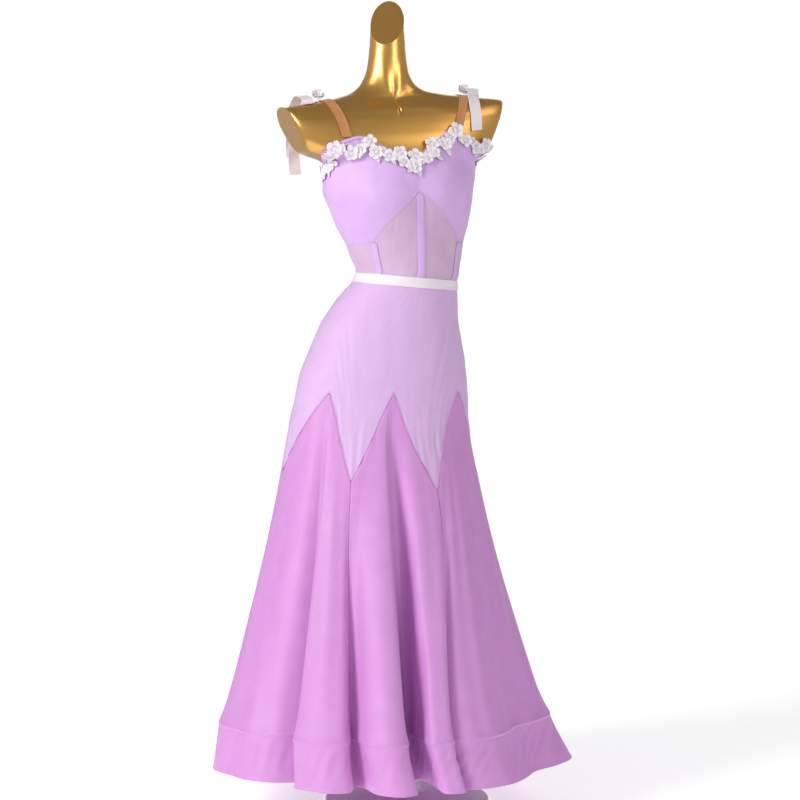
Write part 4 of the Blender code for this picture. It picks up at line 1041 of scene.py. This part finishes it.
def rounded(profile, radius, steps=5):
    """A profile whose inner corners are turned into short curves: points on each corner's parabola."""
    profile = [np.array(p) for p in profile]
    found = [profile[0]]
    for before, corner, after in zip(profile[:-2], profile[1:-1], profile[2:]):
        reach_in = min(radius, np.linalg.norm(corner - before) * 0.45)
        reach_out = min(radius, np.linalg.norm(after - corner) * 0.45)
        start = corner + (before - corner) / np.linalg.norm(before - corner) * reach_in
        end = corner + (after - corner) / np.linalg.norm(after - corner) * reach_out
        for share in np.linspace(0, 1, steps):
            found.append((1 - share) ** 2 * start + 2 * share * (1 - share) * corner + share**2 * end)
    return np.array(found + [profile[-1]])


def make_stand():
    """A turned base with rounded rims, a boss with two grooves, and the pole."""
    base = [
        (BASE_RADIUS - 0.003, 0.0),
        (BASE_RADIUS, 0.003),
        (BASE_RADIUS, BASE_THICKNESS),
        (BASE_RADIUS * 0.60, BASE_CROWN - 0.005),
        (BOSS_RADIUS + 0.006, BASE_CROWN),
        (BOSS_RADIUS, BASE_CROWN + 0.006),
        (BOSS_RADIUS - 0.0025, 0.036),
        (BOSS_RADIUS - 0.0045, 0.0375),
        (BOSS_RADIUS - 0.0035, 0.039),
        (BOSS_RADIUS - 0.004, BOSS_HEIGHT - 0.004),
        (BOSS_RADIUS - 0.008, BOSS_HEIGHT),
    ]
    turned_piece("base_plate", rounded(base, 0.003), 128, PALE_STEEL)
    low, high = BOSS_HEIGHT + SEAM_GAP, FORM_BOTTOM - SEAM_GAP
    pole = [
        (POLE_RADIUS - 0.0006, low),
        (POLE_RADIUS, low + 0.001),
        (POLE_RADIUS, 0.340),
        (POLE_RADIUS - 0.0008, 0.3408),
        (POLE_RADIUS - 0.0008, 0.3422),
        (POLE_RADIUS, 0.343),
        (POLE_RADIUS, high - 0.001),
        (POLE_RADIUS - 0.0006, high),
    ]
    turned_piece("pole", rounded(pole, 0.0006, 3), 64, STEEL)


def strip_sides(points, inner, outer):
    """The two sides of a strip, moved out from a grid of points along its normals."""
    along, over = np.gradient(points, axis=0), np.gradient(points, axis=1)
    normal = np.cross(over, along)
    normal /= np.linalg.norm(normal, axis=-1, keepdims=True)
    inner = np.broadcast_to(inner, points.shape[:2])[..., None]
    outer = np.broadcast_to(outer, points.shape[:2])[..., None]
    return points + normal * inner, points + normal * outer


def make_straps():
    """Each strap goes over the shoulder: flat across, with a raised cord along each edge."""
    for name, side, front_low, back_low, start, bow in STRAPS:
        fine = np.radians(np.linspace(*STRAP_CLIMB, STRAP_SAMPLES))
        share = np.linspace(0, 1, STRAP_SAMPLES)
        bowed = bow * np.sin(math.pi * np.clip(share * STRAP_BOW_SPEED, 0, 1))
        out_at = side * (start + bowed - STRAP_NEARING * share)
        line = over_shoulder(out_at, fine, np.zeros(STRAP_SAMPLES))
        kept = np.where(fine < math.pi / 2, line[:, 2] > front_low, line[:, 2] > back_low)
        first, last = np.argmax(kept), len(kept) - 1 - np.argmax(kept[::-1])
        climb = np.linspace(fine[first], fine[last], 150)
        middle = np.interp(climb, fine, out_at)
        over = np.linspace(-1, 1, 21)[None, :]
        across_at = middle[:, None] + side * over * STRAP_WIDTH / 2
        climb = np.broadcast_to(climb[:, None], across_at.shape)
        grid = over_shoulder(across_at, climb, np.zeros(across_at.shape))
        if side < 0:
            grid = grid[:, ::-1]
        cords = 0.0005 * bump((np.abs(over) - 0.84) / 0.09)
        grooves = 0.0002 * bump((np.abs(over) - 0.62) / 0.08)
        inner, outer = strip_sides(grid, STRAP_LIFT, STRAP_LIFT + STRAP_WALL + (cords - grooves))
        made = put_on(name, outer, inner, STRAP)
        as_cloth(outer, False)


def make_ribbons():
    """Ribbon tails along their routes: a slow ripple where they hang free, woven edges and a turned hem
    at each end. The right one bows up over the shoulder by a bell."""
    for number, (name, rows) in enumerate(RIBBON_ROUTES.items()):
        table = np.array(rows)
        at = np.linspace(0, 1, 130)
        knots = np.linspace(0, 1, len(table))
        across_at, climb, reach = (smooth(at, knots, table[:, column]) for column in range(3))
        over = np.linspace(-1, 1, 15)[None, :]
        across_at = across_at[:, None] + over * RIBBON_WIDTH / 2
        climb = np.broadcast_to(np.radians(climb)[:, None], across_at.shape)
        grid = over_shoulder(across_at, climb, np.zeros(across_at.shape), reach[:, None])
        lift = RIBBON_LIFTS[name]
        free = ramp(reach[:, None], 0.04, 0.07)
        ripple = 0.0011 * np.sin(9 * math.pi * at[:, None] + number + 1.2 * over) * free
        if name == "ribbon_right":
            ripple = ripple + 0.015 * bump((np.degrees(climb) - 88) / 22)
        edges = 0.00025 * bump((np.abs(over) - 0.90) / 0.07)
        hems = 0.0005 * (bump((at[:, None] - 0.030) / 0.006) + bump((at[:, None] - 0.970) / 0.006))
        face = lift + ripple + RIBBON_WALL - 0.0002 + edges + hems
        inner, outer = strip_sides(grid, lift + ripple, face)
        made = put_on(name, outer, inner, RIBBON)
        as_cloth(outer, False)


def petal_field(columns=60):
    """A flower of five petals on a round grid: how far out each point lies (a share of the radius), at
    what angle, and how high its thread work stands. The outline is a lobed curve, |cos| of the petal's
    angle to a low power; the height is a bell at the border, a ring at the middle and fine ribs."""
    angle = np.arange(columns) * 2 * math.pi / columns
    lobe = np.abs(np.cos(PETALS * angle / 2))
    reach = 0.66 + 0.34 * lobe**0.6 + 0.03 * np.cos(3 * PETALS * angle)
    share = np.array([1.0, 0.97, 0.90, 0.80, 0.66, 0.52, 0.42, 0.34, 0.27, 0.20, 0.14, 0.09])
    out = share[:, None] * (0.34 + (reach[None, :] - 0.34) * ramp(share, 0.0, 0.75)[:, None])
    border = bump((share[:, None] - 0.90) / 0.09)
    ribs = 0.5 + 0.5 * np.cos(4 * PETALS * angle)[None, :] * ramp(share, 0.35, 0.6)[:, None]
    ring = bump((share[:, None] - 0.23) / 0.10)
    ditch = bump((share[:, None] - 0.40) / 0.08)
    cup = 0.45 * lobe[None, :] * bump((share[:, None] - 0.68) / 0.25)
    height = 0.35 + 0.75 * border + 0.22 * ribs * (1 - border) + 0.9 * ring - 0.30 * ditch + cup
    height[0] = 0.25
    return angle, out, height


def leaf_field():
    """A leaf on a grid along and across it: a pointed outline, a vein and a raised border."""
    along = np.linspace(0, 1, 19)[:, None]
    over = np.linspace(-1, 1, 9)[None, :]
    half = 0.19 * np.sin(math.pi * np.clip(along, 0, 1) ** 0.85) ** 0.8 + 0.015
    slant = 0.5 + 0.5 * np.cos(2 * math.pi * (along * 6 - np.abs(over) * 1.2))
    height = 0.35 + 0.7 * bump((np.abs(over) - 0.82) / 0.16) + 0.8 * bump(over / 0.16) + 0.25 * slant
    return along, over * half, height * (0.55 + 0.45 * np.sin(math.pi * along) ** 0.4)


def lay_lace(name, flowers, leaves, lift, seed):
    """Flowers, smaller flowers half way between them and leaves, each its own closed shell on the
    cloth."""
    random = np.random.default_rng(seed)
    angle, out, height = petal_field()
    shells = []
    between = []
    for number, (near, far) in enumerate(zip(flowers[:-1], flowers[1:])):
        thread, at = (near[0] + far[0]) / 2, (near[1] + far[1]) / 2
        at += SMALL_FLOWER_ASIDE if number % 2 else -SMALL_FLOWER_ASIDE
        between.append((thread, at, SMALL_FLOWER_RADIUS, 40 * number))
    for thread, at, radius, turn in (*between, *flowers):
        spin = math.radians(turn)
        size = radius * random.uniform(1.10, 1.22)
        swell = 1 + 0.08 * np.sin(angle + random.uniform(0, 6.28))
        xs, ys = size * out * swell * np.cos(angle + spin), size * out * swell * np.sin(angle + spin)
        threads, heights = beside(thread, at, xs, ys)
        tilt = random.uniform(0.0003, 0.0009) if radius > FLAT_FLOWER_RADIUS else 0.0
        cup = 0.0007 * np.clip(out, 0, 1) ** 2
        base = off_body(threads, heights, lift + tilt + cup)
        top = off_body(threads, heights, lift + tilt + cup + 0.0006 + 0.0013 * height)
        shells.append((top, base, True, height))
    along, over, rib = leaf_field()
    for flower, length, points_to in leaves:
        thread, at, *_ = flowers[flower]
        turn = math.radians(points_to)
        xs = length * 1.05 * (along * math.cos(turn) - over * math.sin(turn))
        ys = length * 1.05 * (along * math.sin(turn) + over * math.cos(turn))
        threads, heights = beside(thread, at, xs, ys)
        base = off_body(threads, heights, lift)
        top = off_body(threads, heights, lift + 0.0005 + 0.0010 * rib)
        shells.append((top[:, ::-1], base[:, ::-1], False, rib[:, ::-1]))
    joined_shells(name, shells)


def joined_shells(name, shells):
    """Several walls as one mesh, which keeps how high the thread work stands as a relief value, used for
    the lace's painted shade.
    """
    points, faces, places, relief, count = [], [], [], [], 0
    for outer, inner, closed, stands in shells:
        rows, columns = outer.shape[:2]
        run = np.concatenate([outer, outer[:, :1]], axis=1) if closed else outer
        spread = np.stack([lengths(run, 1), lengths(run, 0)], axis=-1).reshape(-1, 2)
        corners, spots = grid_corners(rows, columns, closed)
        rim, rim_spots = rim_corners(rows, columns, closed)
        for part in (corners, corners[:, ::-1] + rows * columns, rim):
            faces.append(part + count)
        places.append(spread[np.concatenate([spots, spots[:, ::-1], rim_spots]).ravel()])
        points += [outer.reshape(-1, 3), inner.reshape(-1, 3)]
        stands = np.broadcast_to(stands, (rows, columns)).ravel()
        # painted shade: the inner side keeps three tenths of the height, so the lace finish paints it
        # darker
        relief += [stands, stands * 0.3]
        count += 2 * rows * columns
    made = mesh_of(name, np.concatenate(points), faces, np.concatenate(places), LACE)
    kept = made.data.attributes.new("relief", "FLOAT", "POINT")
    kept.data.foreach_set("value", np.concatenate(relief).astype(np.float32))
    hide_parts(name)


def make_lace():
    """The lace in front, with leaves, and the even row behind."""
    lay_lace("lace_front", FRONT_FLOWERS, LEAVES, FRONT_LACE_LIFT + EASE + WALL, 71)
    lay_lace("lace_back", back_flowers(), (), BACK_LACE_LIFT + EASE + WALL, 72)


def make_shoulder_flowers():
    """A flower of two layers of petals stands beside each strap's highest place, leaning forward."""
    _, across, back = chest_frame()
    angle, out, height = petal_field()
    for name, across_at, climb, rise, lean in SHOULDER_FLOWERS:
        foot = over_shoulder(np.array([across_at]), np.radians([climb]), np.zeros(1))[0]
        lean = math.radians(lean)
        up = np.array([0, 0, math.cos(lean)]) + back * math.sin(lean)
        facing = np.cross(across, up)
        middle = foot + up * rise
        shells = []
        for size, turn, lift, cup in FLOWER_LAYERS:
            spin = math.pi / 2 + turn * 2 * math.pi / PETALS
            radius = SHOULDER_FLOWER_RADIUS * size
            xs, ys = radius * out * np.cos(angle + spin), radius * out * np.sin(angle + spin)
            plane = middle + xs[..., None] * across + ys[..., None] * up
            curl = lift + cup * out**2
            below = plane + facing * curl[..., None]
            above = below + facing * (0.0006 + 0.0009 * height)[..., None]
            shells.append((above, below, True, height))
        joined_shells(name, shells)


def lay_stitches(name, threads, heights, lift):
    """A row of stitches along a line on the cloth: each a small spindle, five rings of five points."""
    line = off_body(threads, heights, lift)
    gone = lengths(line[None], 1)[0]
    starts = np.arange(STITCH_PITCH, gone[-1] - STITCH_PITCH, STITCH_PITCH)
    ends = starts + STITCH_PITCH * STITCH_SHARE
    first = np.stack([np.interp(starts, gone, line[:, axis]) for axis in range(3)], axis=-1)
    last = np.stack([np.interp(ends, gone, line[:, axis]) for axis in range(3)], axis=-1)
    at = np.interp(starts, gone, threads), np.interp(starts, gone, heights)
    out = cloth_normal(*at)
    run = last - first
    side = np.cross(out, run / np.linalg.norm(run, axis=-1, keepdims=True))
    share = np.array([0.0, 0.2, 0.5, 0.8, 1.0])[:, None]
    thick = STITCH_RADIUS * np.array([0.25, 0.85, 1.0, 0.85, 0.25])[:, None]
    turn = np.arange(STITCH_SIDES) * 2 * math.pi / STITCH_SIDES
    ring_side = thick * np.cos(turn)
    ring_out = thick * np.sin(turn)
    points = (
        first[:, None, None] + run[:, None, None] * share[None, :, :, None]
        + side[:, None, None] * ring_side[None, ..., None]
        + out[:, None, None] * ring_out[None, ..., None]
    )
    rings, spindle = len(share), len(share) * STITCH_SIDES
    corners, _ = grid_corners(rings, STITCH_SIDES, True)
    foot = np.arange(STITCH_SIDES)
    caps = np.array([foot[::-1], spindle - STITCH_SIDES + foot])
    offsets = np.arange(len(starts))[:, None, None] * spindle
    corners = (corners[None] + offsets).reshape(-1, 4)
    caps = (caps[None] + offsets).reshape(-1, STITCH_SIDES)
    points = points.reshape(-1, 3)
    used = np.concatenate([corners.ravel(), caps.ravel()])
    made = mesh_of(name, points, [corners, caps], points[used][:, [0, 2]], THREAD)


def make_stitches():
    """Rows along the hem's ridge, above the zigzag and above the bodice's lower edge."""
    on_cloth = EASE + WALL + 0.0001
    on_ridge = EASE + WALL + 0.0003
    threads = np.linspace(-180, 180, 3000)
    lay_stitches("stitches_hem", threads, np.full(3000, BAND_TOP - 0.0055), on_ridge)
    threads = np.linspace(-90, 270, 3000)
    lay_stitches("stitches_yoke", threads, yoke_edge(threads) + 0.0044, on_cloth)
    threads = np.linspace(-MESH_THREAD - 30, MESH_THREAD + 30, 1500)
    lay_stitches("stitches_bodice", threads, bodice_edge(threads) + 0.0046, on_cloth)


def new_finish(name, colour, roughness, metallic=0.0):
    """A named finish with its plain numbers on the shader's own sockets."""
    material = bpy.data.materials.new(name)
    material.use_nodes = True
    shader = material.node_tree.nodes["Principled BSDF"]
    shader.inputs["Base Color"].default_value = (*colour, 1.0)
    shader.inputs["Roughness"].default_value = roughness
    shader.inputs["Metallic"].default_value = metallic
    return material


def node(material, kind, **values):
    """A node with its settings: each is a property of that name or else a socket."""
    made = material.node_tree.nodes.new(kind)
    for name, value in values.items():
        if hasattr(made, name):
            setattr(made, name, value)
        else:
            made.inputs[name.replace("_", " ")].default_value = value
    return made


def join(material, start, out, end, into):
    """A link from a socket to a socket."""
    material.node_tree.links.new(start.outputs[out], end.inputs[into])


def vary_colour(material, colours, coordinates, scale, detail=3.0):
    """Soft blotches between colours, from a noise pattern."""
    shader = material.node_tree.nodes["Principled BSDF"]
    noise = node(material, "ShaderNodeTexNoise", Scale=scale, Detail=detail, Roughness=0.55)
    join(material, *coordinates, noise, "Vector")
    ramp_node = node(material, "ShaderNodeValToRGB")
    ramp_node.color_ramp.elements[0].position = 0.32
    ramp_node.color_ramp.elements[1].position = 0.68
    ramp_node.color_ramp.elements[0].color = (*colours[0], 1.0)
    ramp_node.color_ramp.elements[1].color = (*colours[1], 1.0)
    join(material, noise, "Fac", ramp_node, "Fac")
    join(material, ramp_node, "Color", shader, "Base Color")


def weave(material, coordinates, pitch, depth, grain_scale, grain_depth):
    """Two crossing sets of threads and a soft grain, as bumps one over the other."""
    shader = material.node_tree.nodes["Principled BSDF"]
    last = None
    for direction in ("X", "Y"):
        wave = node(material, "ShaderNodeTexWave", Scale=math.pi / 10 / pitch, Distortion=0.6, Detail=1.0)
        wave.bands_direction = direction
        join(material, *coordinates, wave, "Vector")
        lift = node(material, "ShaderNodeBump", Strength=0.5, Distance=depth)
        join(material, wave, "Fac", lift, "Height")
        if last:
            join(material, last, "Normal", lift, "Normal")
        last = lift
    noise = node(material, "ShaderNodeTexNoise", Scale=grain_scale, Detail=4.0, Roughness=0.6)
    join(material, *coordinates, noise, "Vector")
    lift = node(material, "ShaderNodeBump", Strength=0.6, Distance=grain_depth)
    join(material, noise, "Fac", lift, "Height")
    join(material, last, "Normal", lift, "Normal")
    join(material, lift, "Normal", shader, "Normal")


def sheen(material, weight, roughness, tint):
    """The soft light that a cloth's fuzz gives at a slant."""
    shader = material.node_tree.nodes["Principled BSDF"]
    shader.inputs["Sheen Weight"].default_value = weight
    shader.inputs["Sheen Roughness"].default_value = roughness
    shader.inputs["Sheen Tint"].default_value = (*tint, 1.0)


def cloth_finish(name, colours, roughness, pitch, depth, grain, grain_depth, sheen_by):
    """A woven cloth: blotches between two colours, threads at a pitch in metres, and sheen."""
    material = new_finish(name, colours[0], roughness)
    places = node(material, "ShaderNodeUVMap", uv_map="cloth")
    vary_colour(material, colours, (places, "UV"), 22.0)
    weave(material, (places, "UV"), pitch, depth, grain, grain_depth)
    sheen(material, *sheen_by)
    return material


def lace_finish():
    """White thread work with painted shade: pinker and darker in its hollows, by the relief value kept on
    the mesh.
    """
    whites = ((0.93, 0.88, 0.92), (1.0, 0.97, 0.99))
    material = cloth_finish(
        "white corded lace",
        whites,
        roughness=0.85,
        pitch=0.00060,
        depth=0.00018,
        grain=1500,
        grain_depth=0.00014,
        sheen_by=(0.4, 0.5, WARM),
    )
    shader = material.node_tree.nodes["Principled BSDF"]
    white = shader.inputs["Base Color"].links[0].from_node
    # painted shade: where the thread work stands low, the white is multiplied towards a pinkish grey
    relief = node(material, "ShaderNodeAttribute", attribute_name="relief")
    hollow = node(material, "ShaderNodeMapRange", From_Min=0.30, From_Max=1.05)
    join(material, relief, "Fac", hollow, "Value")
    painted_shade = node(material, "ShaderNodeMix", data_type="RGBA", blend_type="MULTIPLY")
    painted_shade.inputs["Factor"].default_value = 1.0
    tint = node(material, "ShaderNodeValToRGB")
    tint.color_ramp.elements[0].color = (0.72, 0.59, 0.67, 1.0)
    tint.color_ramp.elements[1].color = (1.0, 1.0, 1.0, 1.0)
    tint.color_ramp.elements[1].position = 0.7
    join(material, hollow, "Result", tint, "Fac")
    material.node_tree.links.new(white.outputs["Color"], painted_shade.inputs["A"])
    material.node_tree.links.new(tint.outputs["Color"], painted_shade.inputs["B"])
    material.node_tree.links.new(painted_shade.outputs["Result"], shader.inputs["Base Color"])
    return material


def gold_finish():
    """Lacquered gold: metal under a clear coat, with slight clouds in colour and roughness."""
    material = new_finish("gold", (0.74, 0.40, 0.10), 0.30, 0.84)
    shader = material.node_tree.nodes["Principled BSDF"]
    shader.inputs["Coat Weight"].default_value = 0.35
    shader.inputs["Coat Roughness"].default_value = 0.06
    places = node(material, "ShaderNodeTexCoord")
    vary_colour(material, ((0.76, 0.40, 0.090), (0.84, 0.46, 0.120)), (places, "Object"), 5.0)
    clouds = node(material, "ShaderNodeTexNoise", Scale=14.0, Detail=4.0)
    join(material, places, "Object", clouds, "Vector")
    spread = node(material, "ShaderNodeMapRange", To_Min=0.27, To_Max=0.36)
    join(material, clouds, "Fac", spread, "Value")
    join(material, spread, "Result", shader, "Roughness")
    skin_grain = node(material, "ShaderNodeTexNoise", Scale=260.0, Detail=2.0)
    join(material, places, "Object", skin_grain, "Vector")
    lift = node(material, "ShaderNodeBump", Strength=0.03, Distance=0.0004)
    join(material, skin_grain, "Fac", lift, "Height")
    join(material, lift, "Normal", shader, "Normal")
    return material


def steel_finish(name, colours, roughness, metallic):
    """Steel with fine brushed lines round the axis and faint stains."""
    material = new_finish(name, colours[0], roughness, metallic)
    shader = material.node_tree.nodes["Principled BSDF"]
    places = node(material, "ShaderNodeTexCoord")
    vary_colour(material, colours, (places, "Object"), 18.0)
    stretch_map = node(material, "ShaderNodeMapping")
    stretch_map.inputs["Scale"].default_value = (30.0, 30.0, 900.0)
    join(material, places, "Object", stretch_map, "Vector")
    lines = node(material, "ShaderNodeTexNoise", Scale=1.0, Detail=3.0)
    join(material, stretch_map, "Vector", lines, "Vector")
    lift = node(material, "ShaderNodeBump", Strength=0.25, Distance=0.0002)
    join(material, lines, "Fac", lift, "Height")
    join(material, lift, "Normal", shader, "Normal")
    return material


WARM = (1.0, 0.92, 0.97)
STRETCH = cloth_finish(
    "lilac stretch",
    ((0.70, 0.44, 0.82), (0.74, 0.48, 0.86)),
    roughness=0.62,
    pitch=0.00055,
    depth=0.00006,
    grain=900,
    grain_depth=0.00010,
    sheen_by=(0.35, 0.35, WARM),
)
YOKE = cloth_finish(
    "pale lilac stretch",
    ((0.70, 0.45, 0.76), (0.74, 0.49, 0.80)),
    roughness=0.60,
    pitch=0.00055,
    depth=0.00006,
    grain=800,
    grain_depth=0.00012,
    sheen_by=(0.35, 0.35, WARM),
)
SATIN = cloth_finish(
    "satin crepe",
    ((0.635, 0.278, 0.648), (0.665, 0.302, 0.678)),
    roughness=0.50,
    pitch=0.00040,
    depth=0.00004,
    grain=1400,
    grain_depth=0.00006,
    sheen_by=(0.25, 0.30, WARM),
)
MESH = cloth_finish(
    "sheer mesh",
    ((0.74, 0.50, 0.73), (0.80, 0.56, 0.79)),
    roughness=0.75,
    pitch=0.00110,
    depth=0.00020,
    grain=900,
    grain_depth=0.00008,
    sheen_by=(0.30, 0.4, WARM),
)
MESH.node_tree.nodes["Principled BSDF"].inputs["Alpha"].default_value = MESH_COVER
RIBBON = cloth_finish(
    "white satin ribbon",
    ((0.86, 0.78, 0.82), (0.92, 0.85, 0.88)),
    roughness=0.38,
    pitch=0.00050,
    depth=0.00004,
    grain=1200,
    grain_depth=0.00004,
    sheen_by=(0.2, 0.3, WARM),
)
STRAP = cloth_finish(
    "tan satin strap",
    ((0.50, 0.21, 0.075), (0.60, 0.28, 0.12)),
    roughness=0.42,
    pitch=0.00050,
    depth=0.00005,
    grain=1200,
    grain_depth=0.00005,
    sheen_by=(0.3, 0.3, WARM),
)
LACE = lace_finish()
THREAD = cloth_finish(
    "sewing thread",
    ((0.70, 0.46, 0.74), (0.76, 0.52, 0.80)),
    roughness=0.50,
    pitch=0.00030,
    depth=0.00003,
    grain=2000,
    grain_depth=0.00003,
    sheen_by=(0.2, 0.3, WARM),
)
GOLD = gold_finish()
STEEL = steel_finish("dull steel", ((0.17, 0.12, 0.15), (0.24, 0.19, 0.22)), 0.42, 0.7)
PALE_STEEL = steel_finish("pale steel", ((0.84, 0.84, 0.85), (0.90, 0.90, 0.91)), 0.35, 0.25)


def from_camera(right, toward, height):
    """A place measured to the camera's right, towards the camera and up."""
    across = np.array([math.cos(CAMERA_TURN), math.sin(CAMERA_TURN), 0.0])
    nearer = np.array([math.sin(CAMERA_TURN), -math.cos(CAMERA_TURN), 0.0])
    return Vector(across * right + nearer * toward + np.array([0, 0, height]))


def area_light(name, place, size, power, aim_height):
    """A soft box at a place given from the camera's side, facing a height on the pole's axis."""
    data = bpy.data.lights.new(name, "AREA")
    data.shape = "RECTANGLE"
    data.size, data.size_y = size
    data.energy = power
    lamp = bpy.data.objects.new(name, data)
    lamp.location = from_camera(*place)
    aim = Vector((0, 0, aim_height)) - lamp.location
    lamp.rotation_euler = aim.to_track_quat("-Z", "Y").to_euler()
    bpy.context.collection.objects.link(lamp)


def make_floor():
    """A round pale floor that glows a little, so that it meets the white ground without a line."""
    turn = np.arange(FLOOR_CORNERS) * 2 * math.pi / FLOOR_CORNERS
    points = np.stack([FLOOR_RADIUS * np.cos(turn), FLOOR_RADIUS * np.sin(turn), 0 * turn], axis=-1)
    floor = bpy.data.meshes.new("floor")
    floor.from_pydata(points.tolist(), [], [list(range(FLOOR_CORNERS))])
    material = new_finish("floor", (0.90, 0.90, 0.90), 0.9)
    shader = material.node_tree.nodes["Principled BSDF"]
    shader.inputs["Emission Color"].default_value = (1, 1, 1, 1)
    shader.inputs["Emission Strength"].default_value = FLOOR_GLOW
    floor.materials.append(material)
    stage = bpy.data.objects.new("floor", floor)
    bpy.context.collection.objects.link(stage)


def make_room():
    """A white ground for the camera, and for the light a room that is brighter low down."""
    world = bpy.data.worlds.new("room")
    world.use_nodes = True
    tree = world.node_tree
    tree.nodes.clear()
    path = tree.nodes.new("ShaderNodeLightPath")
    seen, lit = tree.nodes.new("ShaderNodeBackground"), tree.nodes.new("ShaderNodeBackground")
    seen.inputs["Color"].default_value = (1, 1, 1, 1)
    seen.inputs["Strength"].default_value = GROUND_BRIGHTNESS
    lit.inputs["Color"].default_value = (0.98, 0.98, 1.0, 1)
    places, height = tree.nodes.new("ShaderNodeTexCoord"), tree.nodes.new("ShaderNodeSeparateXYZ")
    brightness = tree.nodes.new("ShaderNodeMapRange")
    brightness.inputs["From Min"].default_value, brightness.inputs["From Max"].default_value = ROOM_HEIGHTS
    brightness.inputs["To Min"].default_value, brightness.inputs["To Max"].default_value = ROOM_BRIGHTNESS
    tree.links.new(places.outputs["Generated"], height.inputs["Vector"])
    tree.links.new(height.outputs["Z"], brightness.inputs["Value"])
    tree.links.new(brightness.outputs["Result"], lit.inputs["Strength"])
    mix, out = tree.nodes.new("ShaderNodeMixShader"), tree.nodes.new("ShaderNodeOutputWorld")
    tree.links.new(path.outputs["Is Camera Ray"], mix.inputs["Fac"])
    tree.links.new(lit.outputs[0], mix.inputs[1])
    tree.links.new(seen.outputs[0], mix.inputs[2])
    tree.links.new(mix.outputs[0], out.inputs["Surface"])
    bpy.context.scene.world = world
    bpy.context.scene.view_settings.view_transform = "Standard"


def make_camera():
    """The view of the photo: a little below level, from the wearer's right of the front."""
    camera = bpy.data.cameras.new("photo_view")
    camera.lens = CAMERA_LENS
    camera.sensor_width = CAMERA_SENSOR
    camera.shift_y = CAMERA_SHIFT
    view = bpy.data.objects.new("photo_view", camera)
    view.location = from_camera(*CAMERA_PLACE)
    view.rotation_euler = (math.radians(90 - CAMERA_DOWN), 0, CAMERA_TURN)
    bpy.context.collection.objects.link(view)
    bpy.context.scene.camera = view


make_form()
make_stand()
make_mesh_panels()
make_bodice()
make_binding()
make_boning()
make_belt()
make_yokes()
make_godets()
make_hem()
make_straps()
make_ribbons()
make_lace()
make_shoulder_flowers()
make_stitches()
make_floor()
make_room()
for light in LIGHTS:
    area_light(*light)
make_camera()
